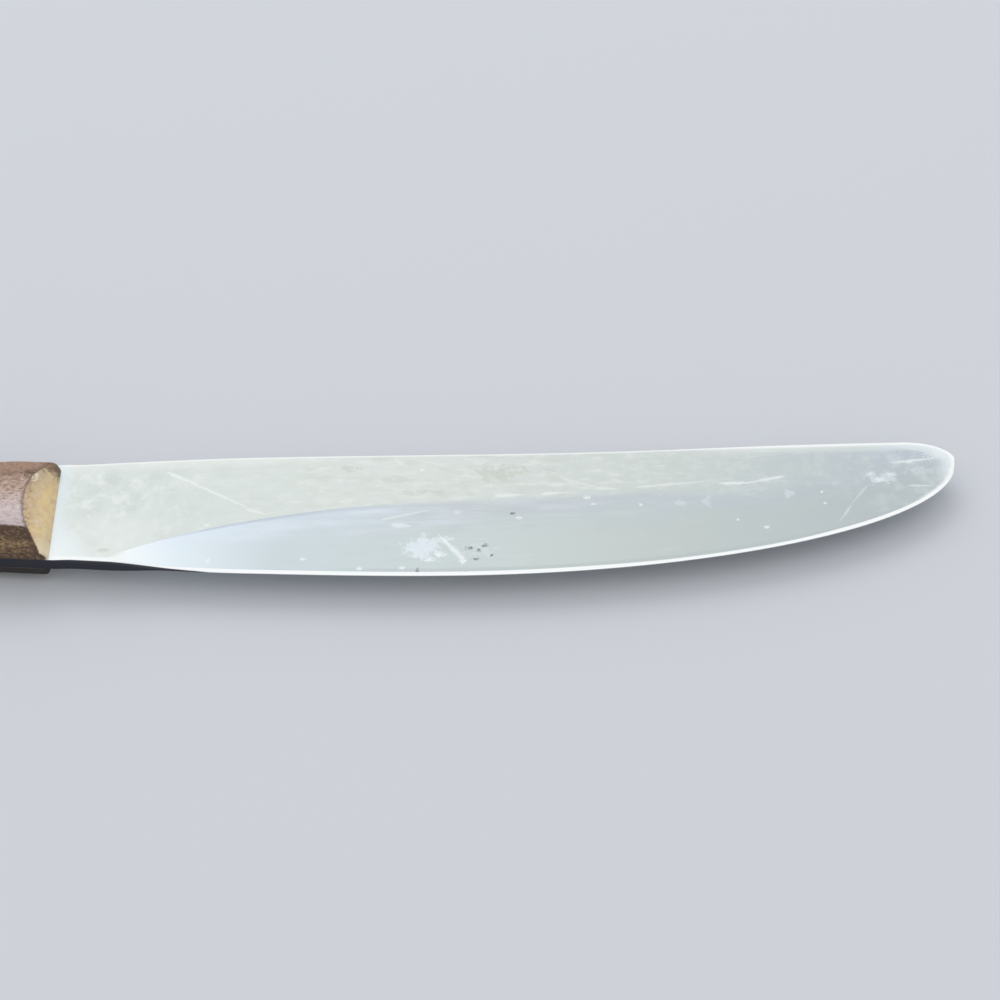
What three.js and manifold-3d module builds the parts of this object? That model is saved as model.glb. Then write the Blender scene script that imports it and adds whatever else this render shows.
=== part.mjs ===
// Steak knife with a hollow-ground blade, a full tang, two bevelled wooden scales and three
// cutler's rivets, each a hollow socket half and a solid pin half that press together.
//
// Millimetres, +Z up. The knife lies on its side, as on a table: tip towards +X, spine towards
// +Y, resting on the flat of its lower scale. The pieces are drawn in the knife's own frame,
// where x = 0 is the front of the scales, y = 0 the spine at that place and z = 0 the middle of
// the steel. The last section sets the origin at the bottom centre of the whole knife.

import * as THREE from "three";
import { mergeVertices } from "three/addons/utils/BufferGeometryUtils.js";
import Module from "manifold-3d";

// Steel blank, blade and tang in one
const STEEL_THICKNESS = 1.9;
const TIP_THICKNESS = 1.0;
const EASED_CORNER = 0.25;
const TANG_CORNER = 0.02;
const EASING_RUN = 3;

// Blade outline: widths are measured down from the spine at the heel
const BLADE_LENGTH = 120;
const HEEL_WIDTH = 16;
const BLADE_WIDTH = 19.9;
const BELLY_FROM_HEEL = 58;
const EDGE_KNEE_FROM_HEEL = 25;
const EDGE_KNEE_WIDTH = 18.4;
const SPINE_RISE = 0.4;
const SPINE_RISE_FROM_HEEL = 24;
const SPINE_DIP = 0.43;
const SPINE_DIP_FROM_TIP = 48;
const NOSE_LENGTH = 6.6;
const TIP_DROP = 3.3;

// Hollow grind and cutting edge
const GRIND_FROM_HEEL = 7;
const GRIND_PLUNGE = 9;
const GRIND_SWEEP = 26;
const GRIND_SHOULDER = 6;
const GRIND_EXIT_RUN = 25;
const HOLLOW_RADIUS = 140;
const EDGE_BEVEL_WIDTH = 0.7;
const EDGE_BEVEL_BACK = 0.45;
const EDGE_LAND = 0.12;

// Handle outline: widths are split about the spine's own line by the rises
const HANDLE_LENGTH = 105;
const WAIST_FROM_FRONT = 16;
const WAIST_WIDTH = 14.6;
const WAIST_DIP = 0.3;
const PALM_FROM_BUTT = 40;
const PALM_WIDTH = 18.2;
const PALM_RISE = 0.8;
const BUTT_ROUND = 6.5;
const BUTT_WIDTH = 16;
const BUTT_DIP = 0.6;

// Scales
const SCALE_THICKNESS = 2.9;
const SCALE_WALL = 1.3;
const SCALE_CHAMFER = 3.1;
const FRONT_BEVEL_RUN = 3.3;
const FRONT_BULGE = 0.5; // how far the rounded front stands out of its straight line

// Rivets
const FRONT_RIVET_INSET = 17;
const BUTT_RIVET_INSET = 17;
const RIVET_HEAD_DIAMETER = 6.4;
const RIVET_HEAD_THICKNESS = 1.0;
const SOCKET_DIAMETER = 4.0;
const PIN_DIAMETER = 2.4;
const PIN_POINT = 0.3;
const PIN_CLEARANCE = 0.06;
const BORE_CLEARANCE = 0.08;
const HEAD_CLEARANCE = 0.05;
const RIVET_END_GAP = 0.4;

// Mesh steps
const ROUND_STEPS = 9;
const HANDLE_STEPS = 22;
const PLUNGE_STEPS = 14;
const BLADE_STEPS = 30;
const HOLLOW_STEPS = 6;
const FRONT_STEPS = 6;
const RIVET_SIDES = 32;
const END_FLAT = 0.02; // each round end stops this far short, on a narrow flat
const NARROW_WIDTH = 4; // a section narrower than this draws in its corners, bevel and strips
const LEAST_STRIP = 0.8; // the flat and the hollow of a section keep at least this width
const CUT_MARGIN = 4; // cutters reach this far past what they cut

const HALF_STEEL = STEEL_THICKNESS / 2;
const HANDLE_FACE = HALF_STEEL + SCALE_THICKNESS;
const HEAD_SEAT = HANDLE_FACE - RIVET_HEAD_THICKNESS;
const NOSE_X = BLADE_LENGTH - NOSE_LENGTH;
const BUTT_X = -HANDLE_LENGTH;
const BUTT_SHOULDER_X = BUTT_X + BUTT_ROUND;
const PLUNGE_END_X = GRIND_FROM_HEEL + GRIND_PLUNGE;

const steel = new THREE.MeshStandardMaterial({ color: 0xd3d7d5, roughness: 0.38, metalness: 1 });
const wood = new THREE.MeshStandardMaterial({ color: 0x6f4a35, roughness: 0.55, metalness: 0 });
const brass = new THREE.MeshStandardMaterial({ color: 0xc3a25c, roughness: 0.4, metalness: 1 });

const { clamp, lerp, smoothstep } = THREE.MathUtils;
const wasm = await Module();
wasm.setup();

// Joining and cutting

function toSolid(geometry) {
  const bare = geometry.clone();
  bare.deleteAttribute("normal");
  bare.deleteAttribute("uv");
  const merged = mergeVertices(bare);
  return new wasm.Manifold(
    new wasm.Mesh({
      numProp: 3,
      vertProperties: new Float32Array(merged.attributes.position.array),
      triVerts: new Uint32Array(merged.index.array),
    }),
  );
}

function toGeometry(solid) {
  const mesh = solid.getMesh();
  const geometry = new THREE.BufferGeometry();
  geometry.setAttribute("position", new THREE.BufferAttribute(mesh.vertProperties, 3));
  geometry.setIndex(new THREE.BufferAttribute(mesh.triVerts, 1));
  geometry.computeVertexNormals();
  return geometry;
}

// Lines of the knife seen from above

// A smooth line y(x) through points listed by rising x, level at its first and last point.
function smoothLine(points) {
  const slopes = points.map((_, i) => {
    if (i === 0 || i === points.length - 1) return 0;
    const [before, after] = [points[i - 1], points[i + 1]];
    return (after[1] - before[1]) / (after[0] - before[0]);
  });
  return (x) => {
    const next = points.findIndex(([px]) => px >= x);
    const i = Math.max(0, (next < 0 ? points.length - 1 : next) - 1);
    const [[x0, y0], [x1, y1]] = [points[i], points[i + 1]];
    const span = x1 - x0;
    const t = clamp((x - x0) / span, 0, 1);
    const rise = t * t * (3 - 2 * t);
    return lerp(y0, y1, rise) + span * t * (1 - t) * (slopes[i] * (1 - t) - slopes[i + 1] * t);
  };
}

// The share of an ellipse's height left at a distance along it, from 1 at its start to 0 at its end.
const ellipseShare = (along, length) => Math.sqrt(Math.max(0, 1 - (along / length) ** 2));

const spineLine = smoothLine([
  [BUTT_SHOULDER_X, -BUTT_DIP],
  [BUTT_X + PALM_FROM_BUTT, PALM_RISE],
  [-WAIST_FROM_FRONT, -WAIST_DIP],
  [0, 0],
  [SPINE_RISE_FROM_HEEL, SPINE_RISE],
  [BLADE_LENGTH - SPINE_DIP_FROM_TIP, -SPINE_DIP],
  [NOSE_X, 0],
]);

const edgeLine = smoothLine([
  [BUTT_SHOULDER_X, -BUTT_DIP - BUTT_WIDTH],
  [BUTT_X + PALM_FROM_BUTT, PALM_RISE - PALM_WIDTH],
  [-WAIST_FROM_FRONT, -WAIST_DIP - WAIST_WIDTH],
  [0, -HEEL_WIDTH],
  [EDGE_KNEE_FROM_HEEL, -EDGE_KNEE_WIDTH],
  [BELLY_FROM_HEEL, -BLADE_WIDTH],
]);

const BUTT_MIDDLE = -BUTT_DIP - BUTT_WIDTH / 2;

// The butt and the nose close on quarter ellipses, and so does the edge from the belly to the tip.
function top(x) {
  if (x < BUTT_SHOULDER_X)
    return lerp(BUTT_MIDDLE, -BUTT_DIP, ellipseShare(BUTT_SHOULDER_X - x, BUTT_ROUND));
  if (x > NOSE_X) return -TIP_DROP * (1 - ellipseShare(x - NOSE_X, NOSE_LENGTH));
  return spineLine(x);
}

function bottom(x) {
  if (x < BUTT_SHOULDER_X)
    return lerp(BUTT_MIDDLE, -BUTT_DIP - BUTT_WIDTH, ellipseShare(BUTT_SHOULDER_X - x, BUTT_ROUND));
  if (x > BELLY_FROM_HEEL) {
    const share = ellipseShare(x - BELLY_FROM_HEEL, BLADE_LENGTH - BELLY_FROM_HEEL);
    return -lerp(TIP_DROP, BLADE_WIDTH, share);
  }
  return edgeLine(x);
}

const middle = (x) => (top(x) + bottom(x)) / 2;

// Places along the knife where a section is drawn, closer together where it changes faster.
function evenly(from, to, steps) {
  return Array.from({ length: steps }, (_, i) => lerp(from, to, i / steps));
}

// From the shoulder of a round end out to its end flat.
function roundEnd(shoulder, end, steps) {
  const reach = Math.abs(end - shoulder);
  const last = Math.acos(1 - END_FLAT / reach);
  return Array.from({ length: steps + 1 }, (_, i) => {
    const angle = lerp(Math.PI / 2, last, i / steps);
    return lerp(shoulder, end, Math.cos(angle));
  });
}

const handleStations = [
  ...roundEnd(BUTT_SHOULDER_X, BUTT_X, ROUND_STEPS).reverse().slice(0, -1),
  ...evenly(BUTT_SHOULDER_X, 0, HANDLE_STEPS),
];
const bladeStations = [
  ...evenly(0, PLUNGE_END_X, PLUNGE_STEPS),
  ...evenly(PLUNGE_END_X, NOSE_X, BLADE_STEPS),
  ...roundEnd(NOSE_X, BLADE_LENGTH, ROUND_STEPS),
];

// Blade and tang

// How far below the spine the hollow grind starts: it sweeps up from the edge at the heel,
// runs along the blade and leaves through the spine where the nose begins.
function shoulderDepth(x) {
  const sweep = Math.exp((GRIND_FROM_HEEL - x) / GRIND_SWEEP);
  const exit = Math.max(0, (x - NOSE_X) / GRIND_EXIT_RUN + 1);
  return lerp(GRIND_SHOULDER, HEEL_WIDTH, sweep) * Math.max(0, 1 - exit * exit);
}

// One section as [y, z] points of the upper side, from the spine to the edge. The tang is a plain
// bar, its corners are eased ahead of the scales, and the grind then thins it towards the edge.
function upperSection(x) {
  const [spine, edge] = [top(x), bottom(x)];
  const drawnIn = Math.min(1, (spine - edge) / NARROW_WIDTH);
  const ground = smoothstep(x, GRIND_FROM_HEEL, PLUNGE_END_X);
  const thinning = smoothstep(x, NOSE_X - GRIND_EXIT_RUN, BLADE_LENGTH);
  const halfSpine = lerp(STEEL_THICKNESS, TIP_THICKNESS, thinning) / 2;
  const corner = lerp(TANG_CORNER, EASED_CORNER, smoothstep(x, 0, EASING_RUN)) * drawnIn;
  const bevel = lerp(corner, EDGE_BEVEL_WIDTH * drawnIn, ground);
  const halfBevel = lerp(halfSpine, EDGE_BEVEL_BACK / 2, ground);
  const halfEdge = lerp(halfSpine - corner, EDGE_LAND / 2, ground);

  const strip = LEAST_STRIP * drawnIn;
  const hollowFoot = edge + bevel;
  const flatStart = spine - corner;
  const shoulder = clamp(spine - shoulderDepth(x), hollowFoot + strip, flatStart - strip);
  const thinned = halfSpine - halfBevel;
  const sag = Math.min((shoulder - hollowFoot) ** 2 / (8 * HOLLOW_RADIUS), thinned / 4);

  const points = [
    [spine, halfSpine - corner],
    [flatStart, halfSpine],
  ];
  for (let i = 0; i <= HOLLOW_STEPS; i++) {
    const share = i / HOLLOW_STEPS;
    const hollow = 4 * sag * share * (1 - share);
    points.push([lerp(shoulder, hollowFoot, share), halfSpine - thinned * share - hollow]);
  }
  points.push([edge, halfEdge]);
  return points;
}

// A closed solid through sections that mirror about z = 0, capped at both ends.
function loftSections(stations, section) {
  const positions = [];
  const indices = [];
  let ringSize = 0;
  for (const x of stations) {
    const upper = section(x);
    const lower = upper.map(([y, z]) => [y, -z]).reverse();
    const ring = [...upper, ...lower];
    ringSize = ring.length;
    for (const [y, z] of ring) positions.push(x, y, z);
  }
  const at = (i, j) => i * ringSize + (j % ringSize);
  for (let i = 0; i < stations.length - 1; i++)
    for (let j = 0; j < ringSize; j++) {
      indices.push(at(i, j), at(i, j + 1), at(i + 1, j + 1));
      indices.push(at(i, j), at(i + 1, j + 1), at(i + 1, j));
    }
  const last = stations.length - 1;
  for (let j = 0; j < ringSize / 2 - 1; j++) {
    const across = ringSize - 1 - j;
    indices.push(at(0, j), at(0, across), at(0, across - 1), at(0, j), at(0, across - 1), at(0, j + 1));
    indices.push(at(last, j), at(last, across - 1), at(last, across));
    indices.push(at(last, j), at(last, j + 1), at(last, across - 1));
  }
  const geometry = new THREE.BufferGeometry();
  geometry.setAttribute("position", new THREE.Float32BufferAttribute(positions, 3));
  geometry.setIndex(indices);
  return geometry;
}

// A turned solid about a vertical axis, from [radius, z] points that start and end on the axis.
function turned(profile, x) {
  const points = profile.map(([radius, z]) => new THREE.Vector2(radius, z));
  return new THREE.LatheGeometry(points, RIVET_SIDES).rotateX(Math.PI / 2).translate(x, middle(x), 0);
}

const frontRivetX = -FRONT_RIVET_INSET;
const buttRivetX = BUTT_X + BUTT_RIVET_INSET;
const rivets = [
  { name: "front_rivet", x: frontRivetX },
  { name: "middle_rivet", x: (frontRivetX + buttRivetX) / 2 },
  { name: "rear_rivet", x: buttRivetX },
];

// The stepped bore that a rivet fills: a counterbore for each head and a hole for the socket.
function rivetBore({ x }) {
  const past = HANDLE_FACE + CUT_MARGIN;
  const head = RIVET_HEAD_DIAMETER / 2 + HEAD_CLEARANCE;
  const hole = SOCKET_DIAMETER / 2 + BORE_CLEARANCE;
  return turned(
    [
      [0, -past],
      [head, -past],
      [head, -HEAD_SEAT],
      [hole, -HEAD_SEAT],
      [hole, HEAD_SEAT],
      [head, HEAD_SEAT],
      [head, past],
      [0, past],
    ],
    x,
  );
}

const boreSolids = rivets.map((rivet) => toSolid(rivetBore(rivet)));
const cutBores = (solid) => boreSolids.reduce((rest, bore) => rest.subtract(bore), solid);

const bladeSolid = cutBores(toSolid(loftSections([...handleStations, ...bladeStations], upperSection)));

// Scales

// The handle is shaped as one block along the tang's outline, chamfered all round on both faces.
// It runs on past the front, where the bevel then cuts it off.
function handleBlock() {
  const stations = [...handleStations, 0, CUT_MARGIN];
  const outline = new THREE.Shape([
    ...stations.map((x) => new THREE.Vector2(x, top(x))),
    ...stations.map((x) => new THREE.Vector2(x, bottom(x))).reverse(),
  ]);
  const depth = STEEL_THICKNESS + 2 * SCALE_WALL;
  const block = new THREE.ExtrudeGeometry(outline, {
    depth,
    bevelThickness: SCALE_THICKNESS - SCALE_WALL,
    bevelSize: SCALE_CHAMFER,
    bevelOffset: -SCALE_CHAMFER,
    bevelSegments: 1,
  });
  return block.translate(0, 0, -depth / 2);
}

// Everything ahead of the two rounded front faces, which rise from the steel at x = 0 and lean back
// to the flats.
function frontCutter() {
  const past = CUT_MARGIN * 2;
  const high = HANDLE_FACE + past;
  const face = new THREE.Vector2(-FRONT_BEVEL_RUN, SCALE_THICKNESS);
  const outward = new THREE.Vector2(face.y, -face.x).normalize();
  const pull = face.clone().divideScalar(2).addScaledVector(outward, 2 * FRONT_BULGE);
  const profile = new THREE.Shape();
  profile.moveTo(0, HALF_STEEL);
  profile.quadraticCurveTo(pull.x, HALF_STEEL + pull.y, face.x, HANDLE_FACE);
  profile.lineTo(face.x, high);
  profile.lineTo(past, high);
  profile.lineTo(past, -high);
  profile.lineTo(face.x, -high);
  profile.lineTo(face.x, -HANDLE_FACE);
  profile.quadraticCurveTo(pull.x, -HALF_STEEL - pull.y, 0, -HALF_STEEL);
  const depth = HEEL_WIDTH + 2 * past;
  const cutter = new THREE.ExtrudeGeometry(profile, {
    depth,
    curveSegments: FRONT_STEPS,
    bevelEnabled: false,
  });
  return cutter.rotateX(Math.PI / 2).translate(0, past, 0);
}

// The slit that the tang fills.
function tangSlit() {
  const length = HANDLE_LENGTH + 4 * CUT_MARGIN;
  const width = 2 * (PALM_WIDTH + HEEL_WIDTH + CUT_MARGIN);
  return new THREE.BoxGeometry(length, width, STEEL_THICKNESS).translate(-HANDLE_LENGTH / 2, 0, 0);
}

const [lowerScaleSolid, upperScaleSolid] = cutBores(
  toSolid(handleBlock()).subtract(toSolid(frontCutter())).subtract(toSolid(tangSlit())),
)
  .decompose()
  .sort((a, b) => a.boundingBox().min[2] - b.boundingBox().min[2]);

// Rivets: the socket's head sits in the lower scale and its tube runs up through the tang; the
// pin's head sits in the upper scale and its shank runs down inside the tube.

function rivetSocket({ x }) {
  const bore = PIN_DIAMETER / 2 + PIN_CLEARANCE;
  const tubeEnd = HEAD_SEAT - RIVET_END_GAP;
  return turned(
    [
      [0, -HANDLE_FACE],
      [RIVET_HEAD_DIAMETER / 2, -HANDLE_FACE],
      [RIVET_HEAD_DIAMETER / 2, -HEAD_SEAT],
      [SOCKET_DIAMETER / 2, -HEAD_SEAT],
      [SOCKET_DIAMETER / 2, tubeEnd],
      [bore, tubeEnd],
      [bore, -HEAD_SEAT],
      [0, -HEAD_SEAT],
    ],
    x,
  );
}

function rivetPin({ x }) {
  const radius = PIN_DIAMETER / 2;
  const end = -HEAD_SEAT + RIVET_END_GAP;
  return turned(
    [
      [0, end],
      [radius - PIN_POINT, end],
      [radius, end + PIN_POINT],
      [radius, HEAD_SEAT],
      [RIVET_HEAD_DIAMETER / 2, HEAD_SEAT],
      [RIVET_HEAD_DIAMETER / 2, HANDLE_FACE],
      [0, HANDLE_FACE],
    ],
    x,
  );
}

// Assembly

const knife = new THREE.Group();

function addPiece(name, solid, material) {
  const mesh = new THREE.Mesh(toGeometry(solid), material);
  mesh.name = name;
  knife.add(mesh);
}

addPiece("blade", bladeSolid, steel);
addPiece("lower_scale", lowerScaleSolid, wood);
addPiece("upper_scale", upperScaleSolid, wood);
for (const rivet of rivets) {
  addPiece(`${rivet.name}_socket`, toSolid(rivetSocket(rivet)), brass);
  addPiece(`${rivet.name}_pin`, toSolid(rivetPin(rivet)), brass);
}

const reach = new THREE.Box3().setFromObject(knife);
const centre = reach.getCenter(new THREE.Vector3());
knife.position.set(-centre.x, -centre.y, -reach.min.z);

const root = new THREE.Group();
root.add(knife);

export default root;
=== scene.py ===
"""Looks of the steak knife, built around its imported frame.

Sizes are in millimetres in the knife's own frame, where x = 0 is the front of the scales, y = 0 the
spine at that place and z = 0 the middle of the steel. Finished meshes are in metres, in the frame of
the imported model.
"""

import logging
import math
from dataclasses import asdict, dataclass
from enum import Enum
from functools import reduce
from types import SimpleNamespace
from typing import Iterable, Sequence, Union

import bmesh
import bpy
import numpy as np
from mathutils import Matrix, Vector


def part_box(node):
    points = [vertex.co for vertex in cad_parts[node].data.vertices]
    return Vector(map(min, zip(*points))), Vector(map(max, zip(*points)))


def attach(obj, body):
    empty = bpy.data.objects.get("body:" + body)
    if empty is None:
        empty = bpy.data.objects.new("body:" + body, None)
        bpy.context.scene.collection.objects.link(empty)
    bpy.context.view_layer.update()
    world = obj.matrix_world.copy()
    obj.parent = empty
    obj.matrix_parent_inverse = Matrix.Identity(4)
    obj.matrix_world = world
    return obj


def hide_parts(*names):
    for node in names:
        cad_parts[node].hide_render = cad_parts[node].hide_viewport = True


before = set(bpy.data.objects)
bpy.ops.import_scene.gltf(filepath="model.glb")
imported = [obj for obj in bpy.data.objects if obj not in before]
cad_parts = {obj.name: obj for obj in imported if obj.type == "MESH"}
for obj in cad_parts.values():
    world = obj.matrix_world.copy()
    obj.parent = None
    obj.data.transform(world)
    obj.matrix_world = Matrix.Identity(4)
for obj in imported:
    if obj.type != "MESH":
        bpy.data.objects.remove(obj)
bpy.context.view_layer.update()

LOG = logging.getLogger("steak_knife")
MM = 0.001
BODY = "root"


class Slot(Enum):
    """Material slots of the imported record."""

    STEEL = "blade_steel"
    WOOD = "handle_wood"
    BRASS = "rivet_brass"


class Side(Enum):
    """Sides of the knife as it lies, as the sign of z."""

    UPPER = 1.0
    LOWER = -1.0


RIVET_HALVES = {Side.LOWER: "socket", Side.UPPER: "pin"}


# Values that work as plain numbers, as arrays and inside node trees


Material = bpy.types.Material
Mesh = bpy.types.Mesh
Node = bpy.types.Node
NodeTree = bpy.types.NodeTree
Object = bpy.types.Object
Socket = bpy.types.NodeSocket


class Field:
    """A value in a node tree that takes plain arithmetic, one Math node for each step."""

    def __init__(self, socket: Socket) -> None:
        """Hold the socket that puts the value out."""
        self.socket = socket

    def __add__(self, other: "Number") -> "Field":
        """Sum."""
        return step("ADD", self, other)

    def __radd__(self, other: "Number") -> "Field":
        """Sum with a plain number first."""
        return step("ADD", other, self)

    def __sub__(self, other: "Number") -> "Field":
        """Difference."""
        return step("SUBTRACT", self, other)

    def __rsub__(self, other: "Number") -> "Field":
        """Difference with a plain number first."""
        return step("SUBTRACT", other, self)

    def __mul__(self, other: "Number") -> "Field":
        """Product."""
        return step("MULTIPLY", self, other)

    def __rmul__(self, other: "Number") -> "Field":
        """Product with a plain number first."""
        return step("MULTIPLY", other, self)

    def __truediv__(self, other: "Number") -> "Field":
        """Quotient."""
        return step("DIVIDE", self, other)

    def __abs__(self) -> "Field":
        """Size without its sign."""
        return step("ABSOLUTE", self)


Number = Union[float, np.ndarray, Field]
Parts = tuple[Field, Field, Field]
Wire = Union[float, int, bool, str, tuple, Field, Socket, Material]
Wires = dict[Union[str, int], Wire]
Colour = tuple[float, float, float, float]
Stops = tuple[tuple[float, Colour], ...]
Point = tuple[float, float]


def plug(socket: Socket, value: Wire) -> None:
    """Link a value to a socket, or set the socket to it.

    Args:
        socket: The input to feed.
        value: A field, another socket or a plain value.
    """
    source = value.socket if isinstance(value, Field) else value
    if isinstance(source, Socket):
        socket.id_data.links.new(source, socket)
    else:
        socket.default_value = source


def feed(node: Node, values: dict[str, Wire]) -> None:
    """Feed a node's inputs, named with underscores for spaces."""
    for label, value in values.items():
        plug(node.inputs[label.replace("_", " ")], value)


def step(operation: str, *values: Number, clamp: bool = False) -> Field:
    """Add one Math node.

    Args:
        operation: Blender's name of the sum.
        values: What it works on, at least one of them a field.
        clamp: Whether the result is held between 0 and 1.

    Returns:
        The node's result.
    """
    first = next(value for value in values if isinstance(value, Field))
    node = first.socket.id_data.nodes.new("ShaderNodeMath")
    node.operation = operation
    node.use_clamp = clamp
    for socket, value in zip(node.inputs, values):
        plug(socket, value)
    return Field(node.outputs[0])


def clamp01(value: Number) -> Number:
    """Hold a value between 0 and 1."""
    in_tree = isinstance(value, Field)
    return step("ADD", value, 0.0, clamp=True) if in_tree else np.clip(value, 0.0, 1.0)


def root(value: Number) -> Number:
    """Square root."""
    return step("SQRT", value) if isinstance(value, Field) else np.sqrt(value)


def cosine(angle: Field) -> Field:
    """Cosine of an angle in radians."""
    return step("COSINE", angle)


def sine(angle: Field) -> Field:
    """Sine of an angle in radians."""
    return step("SINE", angle)


def smaller(a: Number, b: Number) -> Field:
    """The smaller of two values, at least one of them a field."""
    return step("MINIMUM", a, b)


def larger(a: Number, b: Number) -> Field:
    """The larger of two values, at least one of them a field."""
    return step("MAXIMUM", a, b)


def largest(masks: Iterable[Field]) -> Field:
    """The largest of several masks at each place."""
    return reduce(larger, masks)


def swing(noise: Field) -> Field:
    """Noise from 0 to 1, set to swing about 0."""
    return noise - 0.5


def ramp(value: Number, start: Number, end: Number) -> Number:
    """Share of the way from start to end, held between 0 and 1."""
    return clamp01((value - start) / (end - start))


def fade(value: Number, start: Number, end: Number) -> Number:
    """Share of the way that is left from start to end, held between 0 and 1."""
    return 1.0 - ramp(value, start, end)


def ease(value: Number, start: Number, end: Number) -> Number:
    """Share of the way from start to end, level at both."""
    share = ramp(value, start, end)
    return share * share * (3.0 - 2.0 * share)


def between(a: Number, b: Number, share: Number) -> Number:
    """The value that lies the given share of the way from a to b."""
    return a + (b - a) * share


def ellipse_share(along: Number, length: float) -> Number:
    """Share of a quarter ellipse's height at a distance along it, from 1 down to 0."""
    share = clamp01(along / length)
    return root(1.0 - share * share)


def ellipse_gap(x: Field, y: Field, centre: Point, half: Point) -> Field:
    """Distance in from the outline of an ellipse, good close to the outline.

    Args:
        x: Place along its length.
        y: Place across it.
        centre: Its middle.
        half: Half its length and half its width.

    Returns:
        The distance, made large about the middle.
    """
    least_slope, middle = 0.001, (0.4, 0.6)
    along, across = (x - centre[0]) / half[0], (y - centre[1]) / half[1]
    radius = root(along * along + across * across)
    lean_x, lean_y = along / half[0], across / half[1]
    slope = larger(root(lean_x * lean_x + lean_y * lean_y), least_slope)
    return (1.0 - radius) * radius / slope + fade(radius, *middle) * half[1]


def smooth_line(x: Number, points: Sequence[Point]) -> Number:
    """Height at x of a smooth line through points, level at its first and last.

    Args:
        x: Place along the line.
        points: Places and heights by rising place.

    Returns:
        The line's height.
    """
    slopes = [0.0]
    for before, after in zip(points, points[2:]):
        slopes.append((after[1] - before[1]) / (after[0] - before[0]))
    slopes.append(0.0)
    height = points[0][1]
    for index, ((x0, y0), (x1, y1)) in enumerate(zip(points, points[1:])):
        share = ramp(x, x0, x1)
        lean = slopes[index] * (1.0 - share) - slopes[index + 1] * share
        rise = (y1 - y0) * share * share * (3.0 - 2.0 * share)
        height = height + rise + (x1 - x0) * share * (1.0 - share) * lean
    return height


def bent(value: Field, stops: Sequence[Number]) -> Number:
    """A line of straight runs, one for each whole step of value.

    Args:
        value: Place along the runs, from 0 to their count.
        stops: Heights at the whole steps.

    Returns:
        The height at that place.
    """
    height = stops[0]
    for index, (start, end) in enumerate(zip(stops, stops[1:])):
        height = height + clamp01(value - float(index)) * (end - start)
    return height


# Node trees


class Tree:
    """A node tree that is being wired up."""

    def __init__(self, tree: NodeTree) -> None:
        """Take the tree that the nodes go into."""
        self.tree = tree

    def node(self, kind: str, wires: Wires | None = None, **settings: object) -> Node:
        """Add a node.

        Args:
            kind: Blender's name of the node.
            wires: What feeds its inputs, by name or place.
            settings: The node's own options.

        Returns:
            The new node.
        """
        made = self.tree.nodes.new(kind)
        for name, value in settings.items():
            setattr(made, name, value)
        for label, value in (wires or {}).items():
            plug(made.inputs[label], value)
        return made

    def split(self, vector: Wire) -> Parts:
        """The three parts of a vector."""
        parts = self.node("ShaderNodeSeparateXYZ", {0: vector}).outputs
        return Field(parts[0]), Field(parts[1]), Field(parts[2])

    def vector(self, x: Wire, y: Wire, z: Wire) -> Socket:
        """A vector from three parts."""
        return self.node("ShaderNodeCombineXYZ", {0: x, 1: y, 2: z}).outputs[0]


class Group(Tree):
    """A node group with named inputs and outputs."""

    def __init__(self, name: str, kind: str) -> None:
        """Make an empty group.

        Args:
            name: Name of the group.
            kind: Blender's name of the kind of tree.
        """
        super().__init__(bpy.data.node_groups.new(name, kind))
        self.entry = self.tree.nodes.new("NodeGroupInput")
        self.exit = self.tree.nodes.new("NodeGroupOutput")

    def number(self, label: str, value: float) -> Field:
        """Add a named number to the group's inputs.

        Args:
            label: Name of the input.
            value: What it is unless it is fed.

        Returns:
            The input, inside the group.
        """
        made = self.tree.interface.new_socket(label, in_out="INPUT", socket_type="NodeSocketFloat")
        made.default_value = value
        return Field(self.entry.outputs[label])

    def numbers(self, **values: float) -> list[Field]:
        """Add several numbers to the inputs, named with underscores for spaces."""
        return [self.number(name.replace("_", " "), value) for name, value in values.items()]

    def give(self, label: str, value: Wire, kind: str = "NodeSocketFloat") -> None:
        """Add a named output to the group."""
        self.tree.interface.new_socket(label, in_out="OUTPUT", socket_type=kind)
        plug(self.exit.inputs[label], value)


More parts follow.
